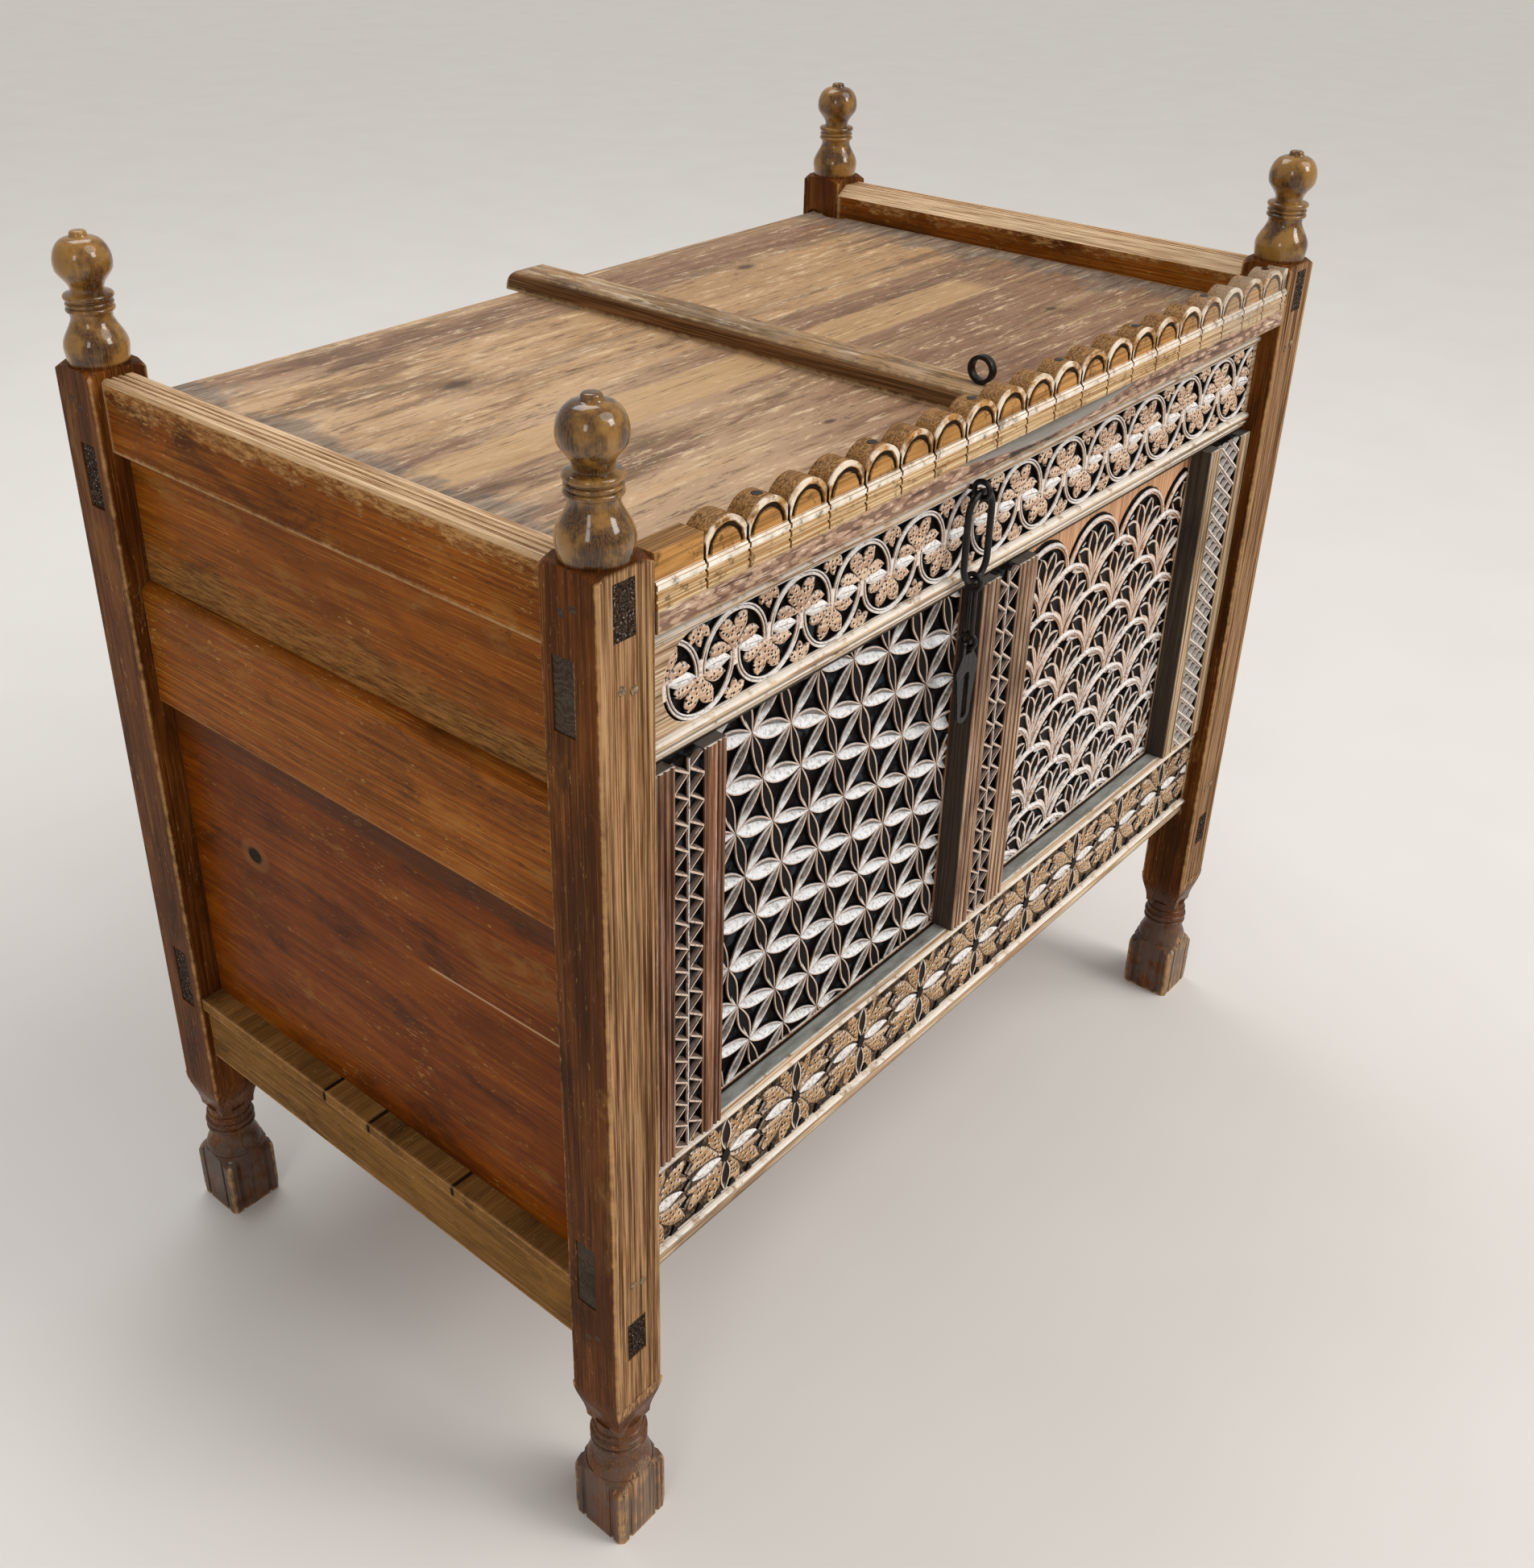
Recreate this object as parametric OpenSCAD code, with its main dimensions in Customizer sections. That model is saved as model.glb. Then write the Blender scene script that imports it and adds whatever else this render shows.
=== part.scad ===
// Carved dowry chest: four turned posts, a panelled and moulded front, plain board sides and back,
// a plank lid that turns on its own wooden pins, a scalloped cresting and a hanging chain hasp.
// Millimetres. The origin is the middle of the footprint on the floor.
// X runs to the right along the front, Y runs from the front to the back and Z runs up.

/* [Overall] */
// Outside length over the posts
chest_length = 1134; // [940:2:1400]
// Outside depth over the posts
chest_depth = 678; // [560:2:820]
// Height of the posts' square shoulders above the floor
shoulder_height = 1010; // [940:5:1150]

/* [Posts] */
// Width of the square posts
post_width = 58; // [56:1:64]
// Height of the finial above the shoulder
finial_height = 116; // [100:1:140]
// Largest radius of the finial's knob
knob_radius = 25.3; // [22:0.1:28]
// Largest radius of the finial's vase
vase_radius = 28.4; // [24:0.1:28.8]
// Width of the square foot block
foot_width = 62; // [58:1:68]
// Height of the square foot block
foot_height = 78; // [60:1:90]
// Height of the turned ankle above the foot block
ankle_height = 62; // [54:1:80]
// Height over which the post narrows to the ankle
taper_height = 43; // [34:1:56]

/* [Lid] */
// Drop from the shoulders to the lid's upper face
lid_drop = 45; // [42:1:56]
// Thickness of the lid boards
lid_thickness = 18; // [16:1:24]
// Width of the front lid board
lid_front_board_width = 281; // [200:1:340]
// Gap between the lid's ends and the posts
lid_end_gap = 2; // [1:0.5:4]
// Length of the wooden pins that the lid turns on
lid_pin_length = 16; // [10:0.5:16]
// Distance from the posts' rear faces to the lid's turning axis
lid_axis_set = 20; // [18:0.5:24]
// Width of the batten across the lid
batten_width = 45; // [36:1:60]
// Height of the batten
batten_height = 24; // [18:1:32]
// Length of batten past the lid's rear edge
batten_tail = 13; // [4:1:14]
// Height of the scalloped cresting
crest_height = 48; // [42:1:60]
// Thickness of the cresting
crest_thickness = 26; // [20:1:34]
// Distance between the cresting's saw cuts
scallop_pitch = 47.6; // [38:0.2:60]
// Length of the plain block at the cresting's left end
crest_block_length = 52; // [30:1:80]

/* [Front] */
// Height of the front top rail
front_top_rail_height = 128; // [110:1:150]
// Height of the front bottom rail
front_bottom_rail_height = 129; // [110:1:150]
// Underside of the front bottom rail above the floor
front_rail_underside = 292; // [270:1:330]
// Width of each carved stile
stile_width = 96; // [84:1:120]
// Depth of the top rail's face behind the posts' faces
top_rail_set = 24; // [20:1:25]
// Depth of the bottom rail's face behind the posts' faces
bottom_rail_set = 20; // [16:1:24]
// Depth of the stiles' faces behind the posts' faces
stile_set = 14; // [8:1:18]
// Depth of the carved panels behind the posts' faces
panel_set = 38; // [35:1:40]

/* [Sides and back] */
// Height of the side top rails
side_top_rail_height = 67; // [58:1:80]
// Drop from the shoulders to the side top rails' upper edge
side_rail_drop = 7; // [2:1:9]
// Height of the side middle rails
side_mid_rail_height = 125; // [90:1:150]
// Upper edge of the side middle rails above the floor
side_mid_rail_top = 805; // [740:1:830]
// Height of the side bottom rails
side_bottom_rail_height = 66; // [60:1:80]
// Drop from the front bottom rail's underside to the side bottom rails' underside
side_bottom_drop = 56; // [54:1:62]
// Height of the rear rails
rear_rail_height = 100; // [84:1:130]
// Thickness of the plain panels and boards
board_thickness = 16; // [14:0.5:18]
// Thickness of the floor boards
floor_thickness = 14; // [10:1:20]

/* [Joinery] */
// Thickness of the tenons
tenon_thickness = 22; // [18:1:24]
// Height of the front and rear top rails' tenons
top_tenon_height = 62; // [50:1:70]
// Height of the front and rear bottom rails' tenons
bottom_tenon_height = 72; // [50:1:76]
// Height of the side rails' tenons
side_tenon_height = 45; // [36:1:46]
// Length of the middle rails' blind tenons
stub_length = 24; // [16:1:30]
// Length of the tongues on panels, boards and stiles
tongue_length = 8; // [5:0.5:9]
// Thickness of the tongues
tongue_thickness = 10; // [6:0.5:12]
// Diameter of the pegs through the tenons
peg_diameter = 7; // [5:0.5:8]

/* [Ironwork] */
// Distance from the middle of the front to the chain hasp
hasp_offset = 78; // [68:1:110]
// Radius of the upper link's bar
upper_link_bar = 3.2; // [2.6:0.1:3.4]
// Outside width of the upper link
upper_link_width = 44; // [34:1:50]
// Outside length of the upper link
upper_link_length = 92; // [70:1:100]
// Distance between the eyes of the lower link
lower_link_reach = 60; // [44:1:70]
// Length of the slotted hasp plate below its loop
hasp_plate_length = 74; // [60:1:90]
// Width of the hasp plate at its shoulders
hasp_plate_width = 36; // [30:1:44]
// Outside diameter of the lid's padlock eye
lid_eye_diameter = 27; // [24:1:34]

/* [Hidden] */
$fn = 48;

// Clearances: a moving part over its seat, a tenon in its mortise, a peg or nail in its hole,
// a board beside its neighbour, a wooden pin in its socket and an iron bar in its eye
seat_gap = 0.3;
joint_gap = 0.15;
peg_gap = 0.1;
board_gap = 0.4;
pin_gap = 0.08;
chain_gap = 0.3;
// How far a cut runs past the face that it opens
over = 1;

// The posts' centres, and the planes of their inner and outer faces
post_x = (chest_length - post_width) / 2;
post_y = (chest_depth - post_width) / 2;
inner_x = post_x - post_width / 2;
inner_y = post_y - post_width / 2;
outer_x = chest_length / 2;
outer_y = chest_depth / 2;

// Heights, from the lid down to the floor boards
shaft_bottom = foot_height + ankle_height + taper_height;
lid_top = shoulder_height - lid_drop;
lid_under = lid_top - lid_thickness;
rail_top = lid_under - seat_gap;
front_top_rail_under = rail_top - front_top_rail_height;
front_sill = front_rail_underside + front_bottom_rail_height;
side_rail_top = shoulder_height - side_rail_drop;
side_rail_under = side_rail_top - side_top_rail_height;
side_mid_rail_under = side_mid_rail_top - side_mid_rail_height;
side_bottom_under = front_rail_underside - side_bottom_drop;
floor_under = side_bottom_under + side_bottom_rail_height;
floor_top = floor_under + floor_thickness;
rear_bottom_top = front_rail_underside + rear_rail_height;
rear_top_under = rail_top - rear_rail_height;
rear_joint = (rear_bottom_top + rear_top_under) / 2;

// Tenons: how far they lie behind the post faces, their shoulders and how far their ends stay short
front_tenon_set = 24;
side_tenon_set = 16;
top_tenon_shoulder = 6;
side_tenon_shoulder = 2;
bottom_tenon_shoulder = 8;
side_bottom_shoulder = 4;
tenon_end_short = 1;
top_tenon_z = rail_top - top_tenon_shoulder - top_tenon_height;
bottom_tenon_z = front_rail_underside + bottom_tenon_shoulder;
side_tenon_z = side_rail_top - side_tenon_shoulder - side_tenon_height;
side_bottom_tenon_z = side_bottom_under + side_bottom_shoulder;
mid_tenon_inset = 20;
// Two pegs through each tenon, one on each side of the post's middle
peg_spread = 6;
peg_length = 50;

// Faces of the side pieces behind the posts' outer side faces, and their thicknesses
side_top_set = 11;
side_mid_set = 15;
side_mid_thickness = 36;
side_bottom_set = 8;
side_bottom_thickness = 40;
side_upper_panel_set = 26;
side_lower_panel_set = 28;
floor_end_set = 3;
rear_rail_set = 24;
rear_board_set = 32;
// Where a panel's tongue lies behind its face
tongue_back = 3;

// The floor boards' joints, as shares of the clear depth from the front
floor_joints = [0, 0.28, 0.5, 0.623, 1];

// The lid's length, its axis and its rounded rear edge
lid_half = inner_x - lid_end_gap;
lid_axis_y = outer_y - lid_axis_set;
lid_axis_z = lid_under + lid_thickness / 2;
lid_pin_radius = lid_thickness / 2;
lid_front_y = -outer_y + 0.5;
lid_joint_y = lid_front_y + lid_front_board_width;
socket_end_gap = 2;
socket_mouth_depth = 5;
socket_mouth_radius = lid_pin_radius + 4;

// Finger hollow in the lid's front edge
hollow_length = 340;
hollow_depth = 11;
hollow_x = 25;

// Cresting: saw cuts, mouldings and arches
kerf_width = 2.4;
kerf_depth = 9;
arch_rise = 14;
crest_moulding = 22;
crest_step = 3;
crest_left = -lid_half;
crest_right = lid_half;
scallop_count = floor((crest_right - crest_left - crest_block_length) / scallop_pitch);
scallop_start = crest_left + crest_block_length;

// Carved fields are sunk this far below the faces of the rails, panels and stiles
carve_depth = 6;
// Half-round beads along the carved rails, the quirks beside them and the bevels under them
bead = 4;
thin_bead = 2;
quirk = 1;
bevel_depth = 3;
bevel_rise = 6;
top_rail_beads = [
  [rail_top - 21, 3], [front_top_rail_under + 17, bead], [front_top_rail_under + 9.5, thin_bead]
];
bottom_rail_beads = [[front_sill - 11, thin_bead], [front_rail_underside + 20, bead - 0.5]];
// The vine's field on the top rail and the rosettes' field on the bottom rail
vine_low = front_top_rail_under + 23;
vine_high = rail_top - 26;
vine_left = -inner_x + 31;
vine_margin = 8;
rosette_low = front_rail_underside + 27;
rosette_high = front_sill - 14.5;
rosette_margin = 4;

// Chain hasp: the staple's eye, then each link's turning point
staple_ring = 8;
staple_bar = 2.5;
staple_drop = 22;
staple_shank = 30;
// How far the hanging chain stays clear of the top rail's beads
chain_clear = 0.5;
top_rail_face = -outer_y + top_rail_set;
bottom_rail_face = -outer_y + bottom_rail_set;
chain_y = top_rail_face - bead - staple_ring - staple_bar - chain_clear;
staple_z = rail_top - staple_drop;
upper_pivot_z = staple_z - (staple_ring - staple_bar - upper_link_bar - chain_gap);
lower_pivot_z = upper_pivot_z - (upper_link_length - 2 * upper_link_bar);
link_ring = 7.5;
link_bar = 2.5;
lower_eye_z = lower_pivot_z - (link_ring - link_bar - upper_link_bar - chain_gap);
plate_bar = 2.5;
plate_pivot_z = lower_eye_z - lower_link_reach - (link_ring - link_bar - plate_bar - chain_gap);
hasp_x = -hasp_offset;

// The padlock eye on the batten
eye_width = 7;
eye_wall = 4;
eye_stem = 3;
eye_y = -outer_y + 68;
eye_z = lid_top + batten_height + seat_gap + lid_eye_diameter / 2;

oak = "sienna";
aged = "peru";
carved = "tan";
dark = "saddlebrown";
iron = "dimgray";

// A box between two opposite corners
module box(low, high) {
  translate(low) cube(high - low);
}

// A flat shape drawn in (y, z) and run along X, and one drawn in (x, z) and run along Y
module along_x(from, to) {
  translate([from, 0, 0]) rotate([90, 0, 90]) linear_extrude(to - from) children();
}
module along_y(from, to) {
  translate([0, to, 0]) rotate([90, 0, 0]) linear_extrude(to - from) children();
}

// A round bar between two points on a line parallel to X, Y or Z
module bar_x(r, from, to, y, z) {
  translate([from, y, z]) rotate([0, 90, 0]) cylinder(r = r, h = to - from);
}
module bar_y(r, from, to, x, z) {
  translate([x, to, z]) rotate([90, 0, 0]) cylinder(r = r, h = to - from);
}

// Points of a smooth curve between two stations [radius, height]
function eased(a, b, steps = 6) = [
  for (i = [0 : steps - 1])
    [a[0] + (b[0] - a[0]) * (1 - cos(180 * i / steps)) / 2, a[1] + (b[1] - a[1]) * i / steps]
];
// Points of a quarter of an ellipse that starts upright and ends flat, between two stations [radius, height]
function domed(a, b, steps = 6) = [
  for (i = [0 : steps - 1])
    [b[0] + (a[0] - b[0]) * cos(90 * i / steps), a[1] + (b[1] - a[1]) * sin(90 * i / steps)]
];
// Points of a half-round ring on a turned stem
function ring(stem, z, r, steps = 6) = [
  for (i = [0 : steps]) [stem + r * sin(180 * i / steps), z - r * cos(180 * i / steps)]
];

// Finial heights as shares of its whole height
function finial_z(share) = share * finial_height;
neck_radius = 17.5;
collar_radius = 19;
knob_neck = 14.5;
tip_radius = 7.5;
finial_points = concat(
  [[0, 0]],
  eased([vase_radius - 1.5, 0], [vase_radius, finial_z(0.13)], 4),
  eased([vase_radius, finial_z(0.13)], [neck_radius, finial_z(0.385)], 8),
  ring(collar_radius, finial_z(0.415), 2.4),
  ring(collar_radius, finial_z(0.458), 2),
  ring(collar_radius, finial_z(0.512), 3),
  [[knob_neck, finial_z(0.55)]],
  eased([knob_neck, finial_z(0.56)], [knob_radius, finial_z(0.745)], 7),
  domed([knob_radius, finial_z(0.765)], [tip_radius + 2.5, finial_z(0.95)], 7),
  [[tip_radius + 1, finial_z(0.955)], [tip_radius, finial_z(0.975)]],
  domed([tip_radius, finial_z(0.98)], [tip_radius / 2, finial_height], 3),
  [[0, finial_height]]
);

// The turned ankle's points, from the foot block up to the square
ankle_radius = 24;
function ankle_z(share) = foot_height + share * ankle_height;
ankle_points = concat(
  [[0, foot_height - 12], [foot_width / 2, foot_height - 12]],
  eased([foot_width / 2, foot_height], [ankle_radius, ankle_z(0.42)], 6),
  ring(ankle_radius, ankle_z(0.5), 3),
  ring(ankle_radius, ankle_z(0.64), 3.2),
  ring(ankle_radius - 1, ankle_z(0.8), 2.2),
  [[ankle_radius - 1, ankle_z(1)], [0, ankle_z(1)]]
);

// Side outline of the square as it narrows towards the ankle
taper_half = 20.5;
function taper_points() = concat(
  eased([taper_half, ankle_z(0.94)], [post_width / 2, shaft_bottom], 6),
  [[post_width / 2, shaft_bottom]]
);
module taper_outline() {
  right = taper_points();
  left = [for (i = [len(right) - 1 : -1 : 0]) [-right[i][0], right[i][1]]];
  polygon(concat(right, left));
}

arris = 1.5;
// The square shaft's section with small flats on its corners, and the front posts' grooves
module shaft_section(front) {
  h = post_width / 2;
  difference() {
    square(post_width, center = true);
    for (a = [45 : 90 : 315]) rotate(a) translate([h * sqrt(2) - arris, -h]) square([post_width, post_width]);
    if (front) {
      // A shallow sunk field between two fillets, with a quirk on each side of it
      for (x = [-h + 10, h - 16, h - 10]) translate([x, -h]) circle(r = 1.6, $fn = 24);
      translate([-h + 10, -h - over]) square([post_width - 26, over + 1]);
    }
  }
}

// Foot block with rounded shoulders and a tongue left between two grooves at each corner
foot_groove = 2.2;
foot_tongue = 13;
foot_shoulder = 14;
module foot_block() {
  h = foot_width / 2;
  corner = h * sqrt(2);
  difference() {
    intersection() {
      translate([-h, -h, 0]) cube([foot_width, foot_width, foot_height]);
      rotate_extrude() polygon(concat(
        [[0, 0], [corner - 3, 0]],
        [[corner - 1.5, foot_shoulder]],
        eased([corner - 1.5, foot_height - foot_shoulder], [h + 1, foot_height], 5),
        [[h + 1, foot_height], [0, foot_height]]
      ));
    }
    for (a = [0 : 90 : 270])
      rotate(a)
        for (x = [-h + foot_tongue, h - foot_tongue])
          translate([x, -h, -over]) cylinder(r = foot_groove, h = foot_height, $fn = 16);
  }
}

// Shoulder blocks: the square's corners are cut away under the finial
module shoulder_cut() {
  h = post_width / 2;
  cut = 9;
  translate([0, 0, shoulder_height]) rotate_extrude() polygon([
    [h + 2, over], [h * sqrt(2) + 4, over], [h * sqrt(2) + 4, -cut]
  ]);
}

// Spans of a mortise or a tenon, [low, high], seen from the positive corner
function front_tenon_span() = [outer_y - front_tenon_set - tenon_thickness, outer_y - front_tenon_set];
function side_tenon_span() = [outer_x - side_tenon_set - tenon_thickness, outer_x - side_tenon_set];

// Every cut in a post, drawn for the corner at +X and +Y
module post_mortises(rear) {
  g = joint_gap;
  f = front_tenon_span();
  s = side_tenon_span();
  for (zh = [[top_tenon_z, top_tenon_height], [bottom_tenon_z, bottom_tenon_height]])
    box([inner_x - over, f[0] - g, zh[0] - g], [outer_x + over, f[1] + g, zh[0] + zh[1] + g]);
  for (z = [side_tenon_z, side_bottom_tenon_z])
    box([s[0] - g, inner_y - over, z - g], [s[1] + g, outer_y + over, z + side_tenon_height + g]);
  // Blind mortise of the middle rail
  box([s[0] - g, inner_y - over, side_mid_rail_under + mid_tenon_inset - g],
      [s[1] + g, inner_y + stub_length + g, side_mid_rail_top - mid_tenon_inset + g]);
  // Grooves for the side panels
  side_panel_groove(side_upper_panel_set, side_mid_rail_top, side_rail_under);
  side_panel_groove(side_lower_panel_set, floor_top, side_mid_rail_under);
  if (rear) {
    y = outer_y - rear_board_set - tongue_back;
    box([inner_x - over, y - tongue_thickness - g, rear_bottom_top],
        [inner_x + tongue_length + g, y + g, rear_top_under]);
    bar_x(lid_pin_radius + pin_gap, inner_x - over, lid_half + lid_pin_length + socket_end_gap,
      lid_axis_y, lid_axis_z);
    bar_x(socket_mouth_radius, inner_x - over, inner_x + socket_mouth_depth, lid_axis_y, lid_axis_z);
  }
}
module side_panel_groove(set, low, high) {
  x = outer_x - set - tongue_back;
  box([x - tongue_thickness - joint_gap, inner_y - over, low],
      [x + joint_gap, inner_y + tongue_length + joint_gap, high]);
}

// One peg's place: through the post's front or rear face, or through its side face
front_peg_zs = [top_tenon_z + top_tenon_height * 0.6, bottom_tenon_z + bottom_tenon_height * 0.4];
side_peg_zs = [side_tenon_z + side_tenon_height / 2, side_bottom_tenon_z + side_tenon_height / 2];
module face_pegs(r, extra) {
  for (z = front_peg_zs, s = [-1, 1])
    bar_y(r, outer_y - peg_length - extra, outer_y + extra, post_x + s * peg_spread, z + s * 2);
}
module side_pegs(r, extra) {
  for (z = side_peg_zs, s = [-1, 1])
    bar_x(r, outer_x - peg_length - extra, outer_x + extra, post_y + s * peg_spread, z + s * 3);
}

// A whole post at the corner given by the signs of X and Y
module post(sx, sy) {
  color(oak) difference() {
    union() {
      translate([sx * post_x, sy * post_y, 0]) {
        foot_block();
        rotate_extrude() polygon(ankle_points);
        intersection() {
          translate([0, post_width / 2, 0]) rotate([90, 0, 0]) linear_extrude(post_width) taper_outline();
          translate([-post_width / 2, 0, 0]) rotate([90, 0, 90]) linear_extrude(post_width) taper_outline();
        }
        translate([0, 0, shaft_bottom]) scale([-sx, 1, 1])
          linear_extrude(shoulder_height - shaft_bottom) shaft_section(sy < 0);
        translate([0, 0, shoulder_height]) rotate_extrude($fn = 64) polygon(finial_points);
      }
    }
    translate([sx * post_x, sy * post_y, 0]) shoulder_cut();
    scale([sx, sy, 1]) {
      post_mortises(sy > 0);
      face_pegs(peg_diameter / 2 + peg_gap, peg_gap);
      side_pegs(peg_diameter / 2 + peg_gap, peg_gap);
    }
  }
}

// The four pegs in each of two posts: at the front, the rear, the left or the right
module pegs_pair(sx_list, sy_list, side) {
  color("burlywood")
    for (sx = sx_list, sy = sy_list)
      scale([sx, sy, 1])
        if (side) side_pegs(peg_diameter / 2, 0);
        else face_pegs(peg_diameter / 2, 0);
}

// Through tenons at both ends of a rail that runs along X, at the front (sy -1) or rear (sy 1)
module tenons_x(sy, z, height) {
  f = front_tenon_span();
  for (sx = [-1, 1])
    scale([sx, sy, 1])
      box([inner_x - over, f[0], z], [outer_x - tenon_end_short, f[1], z + height]);
}
// Through tenons at both ends of a rail that runs along Y, drawn for the right side
module tenons_y(z, height) {
  s = side_tenon_span();
  for (sy = [-1, 1])
    scale([1, sy, 1])
      box([s[0], inner_y - over, z], [s[1], outer_y - tenon_end_short, z + height]);
}

// Beads along a face that looks towards -Y, each with a quirk over and under it: [height, radius]
module beads_on(face, beads) {
  for (b = beads) translate([face, b[0]]) circle(r = b[1], $fn = 24);
}
module quirks_on(face, beads) {
  for (b = beads, s = [-1, 1]) translate([face, b[0] + s * (b[1] + quirk)]) circle(r = quirk, $fn = 16);
}
// The lower front arris of a rail is taken off in a bevel
module rail_bevel(face, under) {
  polygon([
    [face - over, under - over], [face + bevel_depth, under - over], [face + bevel_depth, under],
    [face, under + bevel_rise], [face - over, under + bevel_rise]
  ]);
}
module rail_section(face, under, height, beads) {
  difference() {
    union() {
      translate([face, under]) square([-inner_y - face, height]);
      beads_on(face, beads);
    }
    quirks_on(face, beads);
    rail_bevel(face, under);
  }
}

// Front top rail: a plain margin, the sunk field of the vine between beads, and a bevel below
module vine_field() {
  half = (vine_high - vine_low) / 2;
  translate([vine_left + half, vine_low]) square([inner_x - vine_margin - vine_left - half, 2 * half]);
  translate([vine_left + half, vine_low + half]) circle(r = half);
}
module front_top_rail() {
  color(carved) difference() {
    union() {
      along_x(-inner_x, inner_x)
        rail_section(top_rail_face, front_top_rail_under, front_top_rail_height, top_rail_beads);
      tenons_x(-1, top_tenon_z, top_tenon_height);
    }
    along_y(top_rail_face - bead - over, top_rail_face + carve_depth) vine_field();
    // Groove for the panels and slots for the stiles
    front_frame_slots(front_top_rail_under - over, front_top_rail_under + tongue_length + board_gap);
    for (sx = [-1, 1]) scale([sx, -1, 1]) face_pegs(peg_diameter / 2 + peg_gap, peg_gap);
    bar_y(staple_bar + peg_gap, chain_y, top_rail_face + staple_shank + peg_gap, hasp_x, staple_z);
  }
}

// Front bottom rail: a plain band under the sill, the sunk field of the rosettes and a moulding below
module front_bottom_rail() {
  color(carved) difference() {
    union() {
      along_x(-inner_x, inner_x)
        rail_section(bottom_rail_face, front_rail_underside, front_bottom_rail_height, bottom_rail_beads);
      tenons_x(-1, bottom_tenon_z, bottom_tenon_height);
    }
    box([-inner_x + rosette_margin, bottom_rail_face - bead - over, rosette_low],
        [inner_x - rosette_margin, bottom_rail_face + carve_depth, rosette_high]);
    front_frame_slots(front_sill - tongue_length - board_gap, front_sill + over);
    for (sx = [-1, 1]) scale([sx, -1, 1]) face_pegs(peg_diameter / 2 + peg_gap, peg_gap);
  }
}

// The panels' tongues and the stiles' tenons share one line of slots in the front rails
panel_face = -outer_y + panel_set;
tongue_front = panel_face + carve_depth;
stile_slot_inset = 14;
panel_edge = [stile_width / 2, inner_x - stile_width];
module front_frame_slots(low, high) {
  g = joint_gap;
  for (sx = [-1, 1])
    scale([sx, 1, 1])
      box([panel_edge[0] + board_gap, tongue_front - g, low],
          [panel_edge[1] - board_gap, tongue_front + tongue_thickness + g, high]);
  for (x = [-inner_x, -stile_width / 2, inner_x - stile_width])
    box([x + stile_slot_inset - g, tongue_front - g, low],
        [x + stile_width - stile_slot_inset + g, tongue_front + tongue_thickness + g, high]);
}

// Carved stile from x to x + stile_width: reeds cut by quirks beside a sunk strip for the chip carving
stile_face = -outer_y + stile_set;
reed = 3;
reed_quirk = 1.6;
module stile_section(x, strip, width, quirks) {
  difference() {
    union() {
      translate([x, stile_face + reed]) square([stile_width, -inner_y - stile_face - reed]);
      translate([x + reed, stile_face]) square([stile_width - 2 * reed, reed + over]);
      for (rx = [x + reed, x + stile_width - reed]) translate([rx, stile_face + reed]) circle(r = reed, $fn = 24);
    }
    translate([x + strip, stile_face - over]) square([width, carve_depth + over]);
    for (q = quirks) translate([x + q, stile_face]) circle(r = reed_quirk, $fn = 16);
  }
}
module stile(x, strip, width, quirks, groove_left, groove_right) {
  g = joint_gap;
  groove = tongue_length + board_gap;
  color(aged) difference() {
    union() {
      translate([0, 0, front_sill]) linear_extrude(front_top_rail_under - front_sill)
        stile_section(x, strip, width, quirks);
      box([x + stile_slot_inset, tongue_front, front_sill - tongue_length],
          [x + stile_width - stile_slot_inset, tongue_front + tongue_thickness,
           front_top_rail_under + tongue_length]);
    }
    if (groove_left)
      box([x - over, tongue_front - g, front_sill - over],
          [x + groove, tongue_front + tongue_thickness + g, front_top_rail_under + over]);
    if (groove_right)
      box([x + stile_width - groove, tongue_front - g, front_sill - over],
          [x + stile_width + over, tongue_front + tongue_thickness + g, front_top_rail_under + over]);
  }
}
// Each stile's sunk strip as [start, width], and the places of its quirks, all from its left edge
left_strip = [34, 35];
left_quirks = [9, 16, 23, 30.5, 72, 85, 90.5];
centre_strip = [27, 35];
centre_quirks = [6, 12, 20, 66, 74, 82, 89];
right_strip = [22, 50];
right_quirks = [4.5, 18, 76, 91];
module front_left_stile() { stile(-inner_x, left_strip[0], left_strip[1], left_quirks, false, true); }
module front_centre_stile() { stile(-stile_width / 2, centre_strip[0], centre_strip[1], centre_quirks, true, true); }
module front_right_stile() { stile(inner_x - stile_width, right_strip[0], right_strip[1], right_quirks, true, false); }

// Carved panel that fills the opening between two stiles, drawn for the right-hand opening
panel_rim = 2;
module front_panel(sx) {
  t = tongue_length;
  low_x = panel_edge[0] + board_gap;
  high_x = panel_edge[1] - board_gap;
  color(carved) scale([sx, 1, 1]) {
    difference() {
      box([low_x, panel_face, front_sill + board_gap],
          [high_x, panel_face + board_thickness, front_top_rail_under - board_gap]);
      box([low_x + panel_rim, panel_face - over, front_sill + board_gap + panel_rim],
          [high_x - panel_rim, panel_face + carve_depth, front_top_rail_under - board_gap - panel_rim]);
    }
    box([panel_edge[0] - t, tongue_front, front_sill + board_gap],
        [panel_edge[1] + t, tongue_front + tongue_thickness, front_top_rail_under - board_gap]);
    box([low_x + board_gap, tongue_front, front_sill - t],
        [high_x - board_gap, tongue_front + tongue_thickness, front_top_rail_under + t]);
  }
}
module front_left_panel() { front_panel(-1); }
module front_right_panel() { front_panel(1); }

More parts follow.
